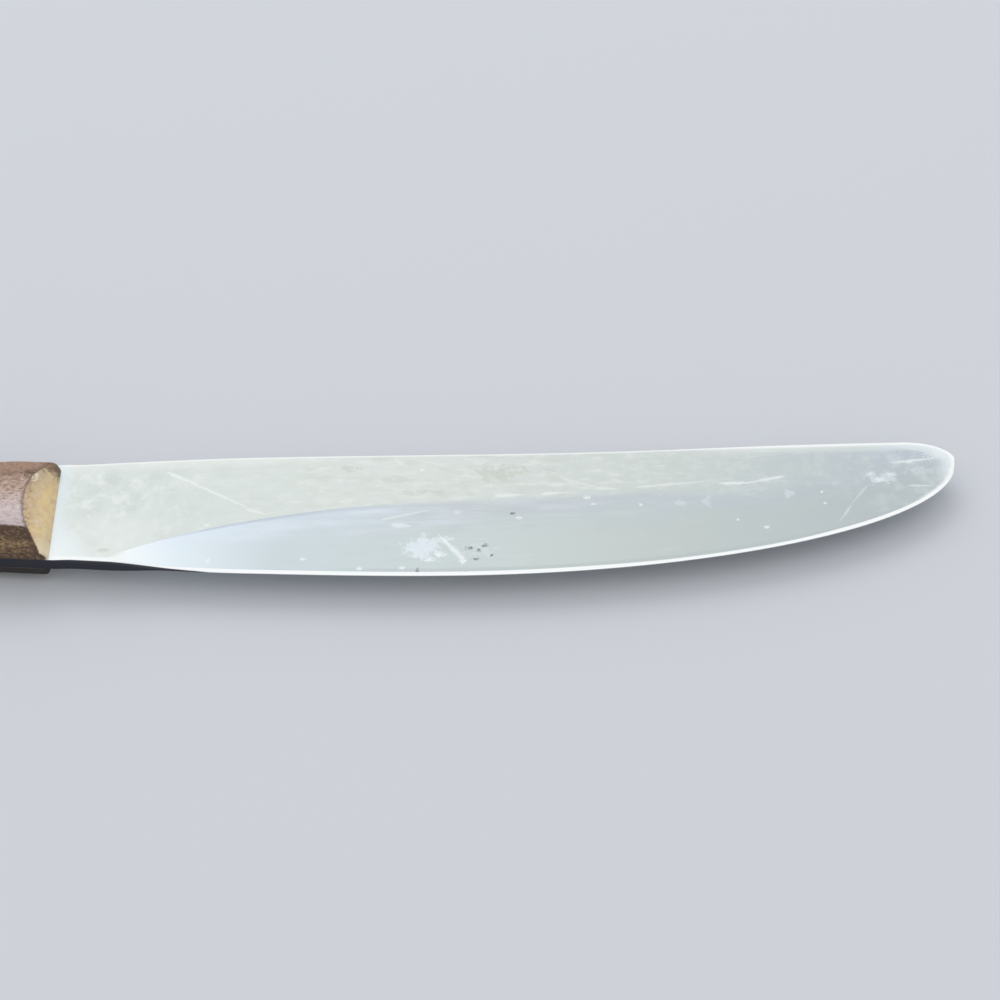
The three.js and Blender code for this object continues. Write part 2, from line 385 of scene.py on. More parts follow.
class Shaping(Group):
    """A Geometry Nodes tree that makes one piece in the knife's frame."""

    def __init__(self, name: str) -> None:
        """Make an empty geometry tree."""
        super().__init__(name, "GeometryNodeTree")

    @staticmethod
    def label(name: str) -> str:
        """Label of the input for a size."""
        return name.replace("_", " ").title()

    def sizes(self, values: dict[str, float]) -> SimpleNamespace:
        """Add sizes to the tree's inputs, to be taken by name."""
        fields = {name: self.number(self.label(name), value) for name, value in values.items()}
        return SimpleNamespace(**fields)

    def here(self) -> Parts:
        """Where each point is."""
        return self.split(self.node("GeometryNodeInputPosition").outputs[0])

    def sheet(self, columns: int, rows: int) -> tuple[Socket, Field, Field]:
        """A flat grid to be shaped.

        Args:
            columns: Steps along it.
            rows: Steps across it.

        Returns:
            The grid, the share along it and the step across it.
        """
        grid = self.node(
            "GeometryNodeMeshGrid",
            {"Size X": 1.0, "Size Y": 1.0, "Vertices X": columns + 1, "Vertices Y": rows + 1},
        )
        x, y, _ = self.here()
        return grid.outputs["Mesh"], x + 0.5, (y + 0.5) * float(rows)

    def store(self, geometry: Wire, name: str, value: Field) -> Socket:
        """Keep a value on the points of a mesh.

        Args:
            geometry: The mesh.
            name: What the value is called there.
            value: The value.

        Returns:
            The mesh with the value on it.
        """
        return self.node(
            "GeometryNodeStoreNamedAttribute",
            {"Geometry": geometry, "Name": name, "Value": value},
            data_type="FLOAT",
            domain="POINT",
        ).outputs[0]

    def kept(self, name: str) -> Field:
        """A value kept on the mesh under a name."""
        node = self.node("GeometryNodeInputNamedAttribute", {"Name": name}, data_type="FLOAT")
        return Field(node.outputs[0])

    def moved(self, geometry: Wire, x: Wire, y: Wire, z: Wire) -> Socket:
        """A mesh with its points set to new places."""
        wires = {"Geometry": geometry, "Position": self.vector(x, y, z)}
        return self.node("GeometryNodeSetPosition", wires).outputs[0]

    def merged(self, geometry: Wire, gap: float) -> Socket:
        """A mesh whose points within a gap of each other are one."""
        wires = {"Geometry": geometry, "Distance": gap}
        return self.node("GeometryNodeMergeByDistance", wires).outputs[0]

    def mirrored(self, upper: Socket) -> Socket:
        """A half and its mirror image below the middle of the steel.

        Args:
            upper: The half above.

        Returns:
            Both halves, not yet merged.
        """
        x, y, z = self.here()
        turned = self.node("GeometryNodeFlipFaces", {"Mesh": self.moved(upper, x, y, z * -1.0)})
        both = self.node("GeometryNodeJoinGeometry")
        for half in (upper, turned.outputs[0]):
            plug(both.inputs[0], half)
        return both.outputs[0]

    def creased(self, geometry: Wire, crisp: Field) -> Socket:
        """A mesh that is shaded smooth, apart from some edges.

        Args:
            geometry: The mesh.
            crisp: Which edges stay crisp.

        Returns:
            The shaded mesh.
        """
        smooth = self.node("GeometryNodeSetShadeSmooth", {0: geometry}, domain="FACE")
        return self.node(
            "GeometryNodeSetShadeSmooth",
            {0: smooth.outputs[0], "Selection": crisp, "Shade Smooth": False},
            domain="EDGE",
        ).outputs[0]

    def finish(self, geometry: Wire, place: "Place", material: Material) -> None:
        """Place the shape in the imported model's frame, dress it and put it out.

        Args:
            geometry: The finished shape in millimetres.
            place: Where the knife's frame lies.
            material: What it is made of.
        """
        placed = self.node(
            "GeometryNodeTransform",
            {"Geometry": geometry, "Translation": tuple(place.origin), "Scale": (MM, MM, MM)},
        )
        whole = self.node("GeometryNodeRealizeInstances", {"Geometry": placed.outputs[0]})
        wires = {"Geometry": whole.outputs[0], "Material": material}
        dressed = self.node("GeometryNodeSetMaterial", wires)
        self.give("Geometry", dressed.outputs[0], "NodeSocketGeometry")

    def make(self, name: str, sizes: dict[str, float]) -> Object:
        """Run the tree on a new object and keep the result as a plain mesh.

        Args:
            name: Name of the piece.
            sizes: Values of the tree's inputs.

        Returns:
            The piece, with no modifier left on it.
        """
        piece = add_object(name, bpy.data.meshes.new(name))
        modifier = piece.modifiers.new(name, "NODES")
        modifier.node_group = self.tree
        values = {self.label(size): value for size, value in sizes.items()}
        for item in self.tree.interface.items_tree:
            if item.in_out == "INPUT":
                modifier[item.identifier] = values[item.name]
        settle(piece)
        return piece


# Meshes and materials


def add_object(name: str, data: bpy.types.ID) -> Object:
    """Add an object to the scene.

    Args:
        name: Its name.
        data: Its mesh, lamp or camera.

    Returns:
        The object, at the origin.
    """
    made = bpy.data.objects.new(name, data)
    bpy.context.scene.collection.objects.link(made)
    return made


def new_material(name: str) -> tuple[Material, Node]:
    """Start a material.

    Args:
        name: Its name.

    Returns:
        The material and its Principled shader.
    """
    material = bpy.data.materials.new(name)
    material.use_nodes = True
    nodes = material.node_tree.nodes
    return material, next(node for node in nodes if node.type == "BSDF_PRINCIPLED")


def settle(piece: Object) -> None:
    """Turn a piece and its modifiers into a plain mesh.

    Args:
        piece: The object, which keeps no modifier.
    """
    graph = bpy.context.evaluated_depsgraph_get()
    mesh = bpy.data.meshes.new_from_object(
        piece.evaluated_get(graph), preserve_all_data_layers=True, depsgraph=graph
    )
    blank = piece.data
    piece.modifiers.clear()
    piece.data = mesh
    bpy.data.meshes.remove(blank)
    mesh.name = piece.name


def close_up(piece: Object, gap: float) -> None:
    """Merge doubled points, close what is open and turn all faces outwards.

    Args:
        piece: The piece to mend.
        gap: Distance within which points are one, in metres.
    """
    form = bmesh.new()
    form.from_mesh(piece.data)
    bmesh.ops.remove_doubles(form, verts=form.verts, dist=gap)
    bmesh.ops.dissolve_degenerate(form, edges=form.edges, dist=gap)
    bmesh.ops.holes_fill(form, edges=[edge for edge in form.edges if edge.is_boundary])
    bmesh.ops.recalc_face_normals(form, faces=form.faces)
    form.to_mesh(piece.data)
    form.free()


def skin(
    form: bmesh.types.BMesh, rows: Iterable[np.ndarray], closed: bool
) -> list[list[bmesh.types.BMVert]]:
    """Join rows of points by faces, each row to the next.

    Args:
        form: The mesh that they go into.
        rows: Points of each row, in metres.
        closed: Whether a row runs round to its start.

    Returns:
        The new points by row.
    """
    made = [[form.verts.new(point) for point in row] for row in rows]
    for low, high in zip(made, made[1:]):
        count = len(low)
        for i in range(count if closed else count - 1):
            j = (i + 1) % count
            form.faces.new((low[i], low[j], high[j], high[i]))
    return made


def keep(form: bmesh.types.BMesh, name: str) -> Mesh:
    """Turn a form that is being built into a mesh.

    Args:
        form: The form, which is let go.
        name: Name of the mesh.

    Returns:
        The mesh.
    """
    mesh = bpy.data.meshes.new(name)
    form.to_mesh(mesh)
    form.free()
    return mesh


def shade(piece: Object, crease: float) -> None:
    """Shade a piece smooth, apart from edges that turn by more than an angle in degrees."""
    piece.data.shade_smooth()
    piece.data.set_sharp_from_angle(angle=math.radians(crease))


def dress(piece: Object, nodes: Sequence[str]) -> None:
    """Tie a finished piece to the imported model.

    Args:
        piece: The finished piece.
        nodes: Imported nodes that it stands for.
    """
    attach(piece, BODY)
    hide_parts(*nodes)


# The knife's frame and lines


@dataclass(frozen=True)
class Place:
    """Where the knife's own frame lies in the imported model, in metres."""

    origin: Vector

    @classmethod
    def from_cad(cls, outline: "Outline") -> "Place":
        """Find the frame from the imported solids.

        Args:
            outline: Lines of the knife, for how far the palm stands above the spine at the heel.

        Returns:
            The frame's place.
        """
        low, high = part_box("blade")
        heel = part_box("upper_scale")[1].x
        return cls(Vector((heel, high.y - outline.palm_rise * MM, (low.z + high.z) / 2.0)))

    def points(self, x: np.ndarray, y: np.ndarray, z: np.ndarray) -> np.ndarray:
        """Points in metres from places in the knife's frame."""
        return np.stack([x, y, z], axis=-1) * MM + np.array(self.origin)


@dataclass(frozen=True)
class Outline:
    """Lines of the blade and the handle seen from above."""

    blade_length: float = 120.0
    heel_width: float = 16.0
    blade_width: float = 19.9
    belly_from_heel: float = 58.0
    knee_from_heel: float = 25.0
    knee_width: float = 18.4
    spine_rise: float = 0.4
    rise_from_heel: float = 24.0
    spine_dip: float = 0.43
    dip_from_tip: float = 48.0
    nose_length: float = 6.6
    nose_blend: float = 0.1
    tip_drop: float = 3.3
    handle_length: float = 105.0
    waist_from_front: float = 16.0
    waist_width: float = 14.6
    waist_dip: float = 0.3
    palm_from_butt: float = 40.0
    palm_width: float = 18.2
    palm_rise: float = 0.8
    butt_round: float = 6.5
    butt_width: float = 16.0
    butt_dip: float = 0.6
    least_width: float = 0.02

    @property
    def nose_x(self) -> float:
        """Where the nose begins to round."""
        return self.blade_length - self.nose_length

    @property
    def butt_shoulder(self) -> float:
        """Where the butt begins to round."""
        return self.butt_round - self.handle_length

    @property
    def palm_x(self) -> float:
        """Widest place of the handle."""
        return self.palm_from_butt - self.handle_length

    @property
    def butt_middle(self) -> float:
        """Height of the butt's end."""
        return -self.butt_dip - self.butt_width / 2.0

    def round_butt(self, x: Number, height: Number) -> Number:
        """Draw a line in to the butt's end on a quarter ellipse."""
        share = ellipse_share(self.butt_shoulder - x, self.butt_round)
        return between(self.butt_middle, height, share)

    def spine(self, x: Number) -> Number:
        """Height of the line along the back of the handle and blade.

        Args:
            x: Place along the knife.

        Returns:
            The height there.
        """
        line = smooth_line(
            x,
            [
                (self.butt_shoulder, -self.butt_dip),
                (self.palm_x, self.palm_rise),
                (-self.waist_from_front, -self.waist_dip),
                (0.0, 0.0),
                (self.rise_from_heel, self.spine_rise),
                (self.blade_length - self.dip_from_tip, -self.spine_dip),
                (self.nose_x, 0.0),
            ],
        )
        drop = self.tip_drop * (1.0 - ellipse_share(x - self.nose_x, self.nose_length))
        return self.round_butt(x, line - drop)

    def edge(self, x: Number) -> Number:
        """Height of the line along the belly of the handle and the cutting edge.

        Args:
            x: Place along the knife.

        Returns:
            The height there.
        """
        line = smooth_line(
            x,
            [
                (self.butt_shoulder, -self.butt_dip - self.butt_width),
                (self.palm_x, self.palm_rise - self.palm_width),
                (-self.waist_from_front, -self.waist_dip - self.waist_width),
                (0.0, -self.heel_width),
                (self.knee_from_heel, -self.knee_width),
                (self.belly_from_heel, -self.blade_width),
            ],
        )
        share = ellipse_share(x - self.belly_from_heel, self.blade_length - self.belly_from_heel)
        return self.round_butt(x, between(-self.tip_drop, line, share))

    def middle(self, x: Number) -> Number:
        """Height half way between the two lines."""
        return (self.spine(x) + self.edge(x)) / 2.0

    def off_centre(self, x: np.ndarray, y: np.ndarray) -> np.ndarray:
        """Share of the way from the middle line to the outline."""
        half = np.maximum(self.spine(x) - self.edge(x), self.least_width) / 2.0
        return np.clip(np.abs(y - self.middle(x)) / half, 0.0, 1.0)

    def nose_gap(self, x: Field, y: Field) -> Field:
        """Distance in from the nose's rounded outline, on the spine's side and on the edge's side.

        Args:
            x: Place along the knife.
            y: Place across it.

        Returns:
            The distance, good close to the outline.
        """
        tip = -self.tip_drop
        belly = (self.blade_length - self.belly_from_heel, self.blade_width - self.tip_drop)
        below = ellipse_gap(x, y, (self.belly_from_heel, tip), belly)
        above = ellipse_gap(x, y, (self.nose_x, tip), (self.nose_length, self.tip_drop))
        return between(below, above, ramp(y, tip - self.nose_blend, tip + self.nose_blend))


# Surface effects that the finishes share


def srgb(red: int, green: int, blue: int) -> Colour:
    """A colour from its display values.

    Args:
        red: Red from 0 to 255.
        green: Green from 0 to 255.
        blue: Blue from 0 to 255.

    Returns:
        The colour as the shader takes it.
    """
    parts = [value / 255.0 for value in (red, green, blue)]
    linear = [p / 12.92 if p <= 0.04045 else ((p + 0.055) / 1.055) ** 2.4 for p in parts]
    return (linear[0], linear[1], linear[2], 1.0)


class Paint(Tree):
    """A shader tree, with the few nodes that the finishes are made from."""

    def noise(self, where: Wire, detail: float = 3.0, rough: float = 0.5, seed: Wire = 0.0) -> Field:
        """Cloudy noise.

        Args:
            where: Place, with one cloud for each unit of it.
            detail: Finer clouds inside the clouds.
            rough: How strong the finer ones are.
            seed: Which noise of many.

        Returns:
            The noise from 0 to 1, about a half.
        """
        node = self.node(
            "ShaderNodeTexNoise",
            {"Vector": where, "W": seed, "Scale": 1.0, "Detail": detail, "Roughness": rough},
            noise_dimensions="4D",
        )
        return Field(node.outputs[0])

    def mix(self, share: Wire, under: Wire, over: Wire) -> Socket:
        """One colour laid over another."""
        wires = {0: share, 6: under, 7: over}
        return self.node("ShaderNodeMix", wires, data_type="RGBA").outputs[2]

    def layers(self, ground: Wire, coats: Iterable[tuple[Wire, Wire]]) -> Wire:
        """Lay masked colours over a ground colour, in order.

        Args:
            ground: The lowest colour.
            coats: Pairs of mask and colour.

        Returns:
            The last colour.
        """
        colour = ground
        for mask, coat in coats:
            colour = self.mix(mask, colour, coat)
        return colour

    def gradient(self, share: Wire, stops: Stops) -> Socket:
        """Colours that blend from one to the next.

        Args:
            share: Place along the gradient, from 0 to 1.
            stops: Places and colours by rising place.

        Returns:
            The colour at that place.
        """
        node = self.node("ShaderNodeValToRGB", {0: share})
        elements = node.color_ramp.elements
        elements[0].position, elements[1].position = stops[0][0], stops[-1][0]
        elements[0].color, elements[1].color = stops[0][1], stops[-1][1]
        for position, colour in stops[1:-1]:
            elements.new(position).color = colour
        return node.outputs[0]

    def kept(self, name: str) -> Field:
        """A value kept on the mesh under a name."""
        return Field(self.node("ShaderNodeAttribute", attribute_name=name).outputs["Fac"])

    def facing(self) -> Parts:
        """The direction that a place faces."""
        return self.split(self.node("ShaderNodeNewGeometry").outputs["Normal"])

    def placed(self, effect: NodeTree, **values: Wire) -> Field:
        """Place an effect group.

        Args:
            effect: The group.
            values: Its inputs, named with underscores for spaces.

        Returns:
            The group's first output.
        """
        node = self.node("ShaderNodeGroup", node_tree=effect)
        feed(node, values)
        return Field(node.outputs[0])


class EffectGroup(Group, Paint):
    """A shader node group for an effect."""

    def __init__(self, name: str) -> None:
        """Make an empty shader group."""
        Group.__init__(self, name, "ShaderNodeTree")


class Effects:
    """Surface effects as shader node groups, each built once.

    All of them work in millimetres in the knife's frame.
    """

    def __init__(self, place: Place) -> None:
        """Build every group.

        Args:
            place: Where the knife's frame lies.
        """
        self.place = place
        self.where = self.make_where()
        self.grain = self.make_grain()
        self.mottle = self.make_mottle()
        self.specks = self.make_specks()
        self.stroke = self.make_stroke()
        self.patch = self.make_patch()
        self.hairlines = self.make_hairlines()

    def make_where(self) -> NodeTree:
        """Places on a piece in the knife's frame.

        Returns:
            The group, which puts out the three parts of a place.
        """
        group = EffectGroup("knife_place")
        parts = group.split(group.node("ShaderNodeTexCoord").outputs["Object"])
        for label, part, start in zip("XYZ", parts, self.place.origin):
            group.give(label, (part - start) / MM)
        return group.tree

    def spot(self, tree: Tree) -> Parts:
        """Place the knife's frame in a tree and take its three parts."""
        node = tree.node("ShaderNodeGroup", node_tree=self.where)
        return Field(node.outputs[0]), Field(node.outputs[1]), Field(node.outputs[2])

    def make_grain(self) -> NodeTree:
        """Streaks that run along the knife.

        Returns:
            The group, which puts out noise from 0 to 1.
        """
        group = EffectGroup("lengthwise_grain")
        length, width, seed = group.numbers(Length=12.0, Width=0.3, Seed=0.0)
        x, y, z = self.spot(group)
        where = group.vector(x / length, y / width, z / width)
        group.give("Grain", group.noise(where, detail=4.0, rough=0.6, seed=seed))
        return group.tree

    def make_mottle(self) -> NodeTree:
        """Cloudy patches of one size.

        Returns:
            The group, which puts out a mask.
        """
        group = EffectGroup("mottle")
        size, start, end, seed = group.numbers(Size=5.0, Start=0.45, End=0.6, Seed=0.0)
        x, y, z = self.spot(group)
        where = group.vector(x / size, y / size, z / size)
        cloud = group.noise(where, detail=4.0, rough=0.58, seed=seed)
        group.give("Mask", ramp(cloud, start, end))
        return group.tree

    def make_specks(self) -> NodeTree:
        """Small scattered dots.

        Returns:
            The group, which puts out a mask.
        """
        least_size, more_size, soft_rim = 0.4, 0.9, 0.35
        group = EffectGroup("specks")
        spacing, size, share, seed = group.numbers(Spacing=2.0, Size=0.12, Share=0.3, Seed=0.0)
        x, y, z = self.spot(group)
        where = group.vector(x / spacing, y / spacing, z / spacing)
        cells = group.node(
            "ShaderNodeTexVoronoi",
            {"Vector": where, "W": seed, "Scale": 1.0},
            voronoi_dimensions="4D",
        )
        chance, spread, _ = group.split(cells.outputs["Color"])
        reach = size * (least_size + more_size * spread) / spacing
        dot = clamp01((reach - Field(cells.outputs["Distance"])) / (reach * soft_rim))
        group.give("Mask", dot * step("LESS_THAN", chance, share))
        return group.tree

    def make_stroke(self) -> NodeTree:
        """One scratch from a start to an end, pointed at both and broken up by noise.

        Returns:
            The group, which puts out a mask.
        """
        first_point, last_point, gaps = (-0.02, 0.18), (1.05, 0.45), (0.2, 0.5)
        least_width, soft_rim = 0.1, 1.2
        group = EffectGroup("stroke")
        x, y, noise = group.numbers(X=0.0, Y=0.0, Noise=0.5)
        x0, y0, x1, y1 = group.numbers(Start_X=0.0, Start_Y=0.0, End_X=10.0, End_Y=0.0)
        bow, width, strength = group.numbers(Bow=0.0, Width=0.3, Strength=1.0)
        run, rise = x1 - x0, y1 - y0
        share = clamp01(((x - x0) * run + (y - y0) * rise) / (run * run + rise * rise))
        off_x = x - x0 - run * share
        off_y = y - y0 - rise * share - 4.0 * bow * share * (1.0 - share)
        off = root(off_x * off_x + off_y * off_y)
        pointed = ramp(share, *first_point) * ramp(share, *last_point)
        half = width * pointed * (least_width + noise)
        group.give("Mask", ease(off, half * soft_rim, 0.0) * ramp(noise, *gaps) * strength)
        return group.tree

    def make_patch(self) -> NodeTree:
        """One patch with an outline that noise makes ragged.

        Returns:
            The group, which puts out a mask.
        """
        noise_reach, soft_rim = 4.0, (-1.0, -0.55)
        group = EffectGroup("patch")
        x, y, noise = group.numbers(X=0.0, Y=0.0, Noise=0.5)
        x0, y0, long, wide = group.numbers(Centre_X=0.0, Centre_Y=0.0, Long=2.0, Wide=1.0)
        ragged, strength = group.numbers(Raggedness=0.8, Strength=1.0)
        off_x, off_y = (x - x0) / long, (y - y0) / wide
        off = root(off_x * off_x + off_y * off_y)
        group.give("Mask", ease(swing(noise) * noise_reach * ragged - off, *soft_rim) * strength)
        return group.tree

    def make_hairlines(self) -> NodeTree:
        """Fine scratches of use, all near one direction.

        Returns:
            The group, which puts out a mask.
        """
        wave, sway, patch_long, patch_wide = 9.0, 3.0, 6.0, 3.0
        line_width, soft_rim, other_seed = 0.018, 0.15, 5.0
        group = EffectGroup("hairlines")
        length, width, lean = group.numbers(Length=14.0, Width=0.25, Lean=0.2)
        amount, seed = group.numbers(Amount=0.5, Seed=0.0)
        x, y, z = self.spot(group)
        wander = group.noise(group.vector(x / wave, y / wave, z), detail=1.0, seed=seed)
        across = y - x * lean + swing(wander) * sway
        lines = group.noise(group.vector(x / length, across / width, z), detail=1.0, seed=seed)
        where = group.vector(x / patch_long, y / patch_wide, z)
        presence = group.noise(where, detail=2.0, seed=seed + other_seed)
        thin = clamp01(1.0 - abs(swing(lines)) / line_width)
        group.give("Mask", thin * ramp(presence, 1.0 - amount, 1.0 + soft_rim - amount))
        return group.tree


@dataclass(frozen=True)
class Stroke:
    """A scratch on an upper side."""

    start: Point
    end: Point
    width: float
    strength: float = 0.85
    bow: float = 0.0

    def inputs(self) -> dict[str, float]:
        """What it sets in the stroke group.

        Returns:
            The group's inputs.
        """
        (start_x, start_y), (end_x, end_y) = self.start, self.end
        places = {"Start_X": start_x, "Start_Y": start_y, "End_X": end_x, "End_Y": end_y}
        return places | {"Bow": self.bow, "Width": self.width, "Strength": self.strength}


@dataclass(frozen=True)
class Patch:
    """A stain, residue or chip on an upper side."""

    centre: Point
    long: float
    wide: float
    ragged: float = 0.8
    strength: float = 0.8

    def inputs(self) -> dict[str, float]:
        """What it sets in the patch group.

        Returns:
            The group's inputs.
        """
        x, y = self.centre
        size = {"Centre_X": x, "Centre_Y": y, "Long": self.long, "Wide": self.wide}
        return size | {"Raggedness": self.ragged, "Strength": self.strength}


class Finish:
    """What the finishes share: a material with a Principled shader, the knife's places and marks."""

    def __init__(self, name: str, effects: Effects) -> None:
        """Start a material.

        Args:
            name: Name of the material.
            effects: The shared effect groups.
        """
        self.material, self.shader = new_material(name)
        self.effects = effects
        self.paint = Paint(self.material.node_tree)
        self.x, self.y, self.z = effects.spot(self.paint)

    def cloud(self, along: float, across: float, **options: float) -> Field:
        """Noise on a face seen from above, by its clouds in a millimetre each way."""
        where = self.paint.vector(self.x * along, self.y * across, 0.0)
        return self.paint.noise(where, **options)

    def waver(self, reach: float, fineness: float) -> None:
        """Set where marks are drawn: on the upper side, at wavering places so that none is ruled.

        Args:
            reach: How far a place may be shifted, in millimetres.
            fineness: Waves in a millimetre.
        """
        side_sharpness, sway_seed = 10.0, 11.0
        where = self.paint.vector(self.x * fineness, self.y * fineness, 0.0)
        self.wander = self.paint.noise(where, detail=2.0)
        sway = self.paint.noise(where, detail=2.0, seed=sway_seed)
        self.mark_x = self.x + swing(sway) * reach
        self.mark_y = self.y + swing(self.wander) * reach
        self.upper = clamp01(self.z * side_sharpness)

    def marks(
        self, effect: NodeTree, marks: Iterable[Union[Stroke, Patch]], noise: Field
    ) -> Field:
        """Mask of a set of marks on the upper side.

        Args:
            effect: The group that draws one of them.
            marks: The marks.
            noise: Noise that breaks up their outlines.

        Returns:
            The mask.
        """
        where = {"X": self.mark_x, "Y": self.mark_y, "Noise": noise}
        drawn = (self.paint.placed(effect, **where, **mark.inputs()) for mark in marks)
        return largest(drawn) * self.upper

    def bump(self, height: Field, relief: float) -> None:
        """Raise the surface by a height from 0 to 1, where 1 stands out by a relief in millimetres."""
        wires = {"Strength": 1.0, "Distance": relief * MM, "Height": height}
        feed(self.shader, {"Normal": self.paint.node("ShaderNodeBump", wires).outputs[0]})


@dataclass(frozen=True)
class SteelLook:
    """Colours, gloss and marks of the satin steel."""

    length: float = 120.0
    flat_rough: float = 0.34
    hollow_rough: float = 0.28
    edge_rough: float = 0.24
    side_rough: float = 0.5
    brushing: float = 0.3
    relief: float = 0.004
    flat: Stops = (
        (0.03, srgb(222, 229, 226)),
        (0.4, srgb(221, 227, 223)),
        (0.68, srgb(209, 216, 214)),
        (0.84, srgb(197, 205, 208)),
        (0.97, srgb(190, 199, 209)),
    )
    # Painted reflection: bluish white in the hollow below the shoulder, brightest near the heel.
    upper_hollow_sheen: Stops = (
        (0.12, srgb(229, 240, 250)),
        (0.27, srgb(213, 224, 232)),
        (0.45, srgb(202, 209, 213)),
        (0.66, srgb(198, 206, 210)),
        (0.84, srgb(188, 198, 203)),
        (0.97, srgb(189, 198, 206)),
    )
    lower_hollow: Stops = (
        (0.12, srgb(232, 243, 249)),
        (0.24, srgb(209, 220, 224)),
        (0.5, srgb(206, 215, 214)),
        (0.66, srgb(199, 207, 205)),
        (0.9, srgb(188, 197, 200)),
    )
    cream: Colour = srgb(236, 240, 236)
    dull: Colour = srgb(208, 215, 212)
    # Pale bluish white: the strip ahead of the scales and the painted glint round the nose.
    cool: Colour = srgb(230, 239, 243)
    olive: Colour = srgb(202, 206, 196)
    mist: Colour = srgb(228, 234, 244)
    ash: Colour = srgb(200, 206, 203)
    # Painted glint where the grind starts and at the near end of the strip ahead of the scales.
    plunge: Colour = srgb(246, 251, 253)
    # Painted shade along the grind's creases.
    shoulder_crease_shade: Colour = srgb(190, 199, 214)
    foot_crease_shade: Colour = srgb(186, 194, 196)
    # Painted highlight for the cutting bevel and the eased corners.
    bright: Colour = srgb(250, 252, 252)
    scratch: Colour = srgb(242, 246, 247)
    residue: Colour = srgb(226, 235, 241)
    dark: Colour = srgb(104, 110, 112)
    # Painted shade and dark reflection on the narrow sides of tang and heel, paler where they face away.
    side: Colour = srgb(70, 71, 79)
    far_side: Colour = srgb(128, 131, 134)
    scratches: tuple[Stroke, ...] = (
        Stroke((14.2, -1.9), (18.8, -4.4), 0.72, 1.0),
        Stroke((17.6, -3.8), (26.6, -9.2), 0.5, 0.85),
        Stroke((25.0, -8.6), (27.9, -9.6), 0.62, 0.8),
        Stroke((44.6, -0.8), (46.2, -2.2), 0.5, 0.5),
        Stroke((49.0, -1.4), (55.0, -4.9), 0.5, 0.65, 0.5),
        Stroke((42.6, -10.9), (49.9, -9.4), 0.55, 0.5),
        Stroke((44.0, -11.7), (46.8, -12.0), 0.9, 0.7),
        Stroke((53.7, -17.9), (50.2, -13.4), 0.85, 0.95),
        Stroke((57.6, -7.7), (62.0, -7.5), 0.55, 0.75),
        Stroke((63.8, -7.6), (67.6, -7.3), 0.6, 0.75),
        Stroke((66.6, -4.9), (71.8, -6.8), 0.5, 0.45),
        Stroke((71.4, -6.8), (74.2, -7.1), 0.55, 0.6),
        Stroke((76.3, -6.9), (86.5, -6.2), 0.5, 0.6),
        Stroke((87.6, -6.7), (92.4, -6.7), 0.62, 0.9),
        Stroke((96.7, -5.7), (91.2, -6.7), 0.6, 0.9),
        Stroke((104.9, -10.5), (102.8, -13.3), 0.36, 0.5),
        Stroke((107.6, -7.2), (104.9, -10.4), 0.4, 0.35),
        Stroke((111.4, -3.6), (119.0, -2.8), 0.5, 0.75),
        Stroke((112.9, -7.5), (116.4, -7.6), 0.36, 0.6),
    )
    residues: tuple[Patch, ...] = (
        Patch((48.2, -15.5), 2.8, 2.0, 0.9, 0.95),
        Patch((50.7, -14.3), 1.3, 0.7, 1.0, 0.85),
        Patch((109.6, -6.1), 2.2, 1.0, 1.5, 0.5),
        Patch((115.4, -4.9), 2.4, 0.7, 1.7, 0.3),
        Patch((96.7, -8.5), 0.9, 0.7, 0.9, 0.45),
        Patch((82.3, -9.6), 0.8, 0.6, 1.4, 0.4),
        Patch((85.8, -9.5), 0.7, 0.9, 1.4, 0.35),
        Patch((55.8, -16.0), 2.2, 1.3, 1.4, 0.3),
    )
    dots: tuple[Patch, ...] = (
        Patch((53.3, -17.7), 0.5, 0.5, 0.9, 0.9),
        Patch((50.3, -16.6), 0.8, 0.42, 1.3, 1.0),
        Patch((48.9, -17.3), 0.8, 0.3, 1.4, 0.9),
        Patch((89.5, -12.5), 0.24, 0.22, 0.5),
        Patch((93.2, -13.8), 0.4, 0.3, 0.5),
        Patch((101.2, -8.3), 0.22, 0.22, 0.5),
        Patch((101.4, -10.1), 0.24, 0.24, 0.5),
        Patch((70.0, -8.3), 0.6, 0.32, 0.8),
        Patch((70.8, -9.4), 0.36, 0.22, 0.8),
        Patch((77.0, -9.7), 0.26, 0.24, 0.8),
        Patch((60.9, -11.2), 0.46, 0.3, 0.9),
        Patch((48.2, -2.8), 0.3, 0.24, 0.9),
        Patch((52.8, -10.0), 0.5, 0.34, 1.2, 0.5),
        Patch((113.9, -3.4), 0.6, 0.34, 1.1),
        Patch((108.2, -5.4), 0.6, 0.3, 1.2, 0.6),
        Patch((109.4, -6.4), 0.9, 0.4, 1.2, 0.8),
        Patch((111.0, -5.5), 0.8, 0.36, 1.2, 0.6),
        Patch((117.6, -2.4), 1.5, 0.8, 1.8, 0.6),
        Patch((45.4, -18.5), 0.5, 0.28, 0.9),
        Patch((40.0, -18.4), 0.44, 0.36, 0.9),
        Patch((32.6, -16.6), 0.4, 0.3, 1.0),
        Patch((20.4, -16.5), 0.34, 0.42, 1.0),
        Patch((19.3, -12.9), 0.24, 0.3, 1.0, 0.5),
        Patch((20.0, -11.1), 0.46, 0.3, 1.0),
    )
    stains: tuple[Patch, ...] = (
        Patch((58.7, -3.8), 3.6, 1.5, 1.8, 0.55),
        Patch((48.6, -6.6), 3.4, 0.5, 1.8, 0.4),
        Patch((38.7, -2.2), 1.8, 0.6, 1.8, 0.45),
        Patch((44.6, -4.4), 2.4, 0.6, 1.8, 0.35),
        Patch((6.8, -14.7), 0.9, 0.4, 1.0, 0.45),
    )
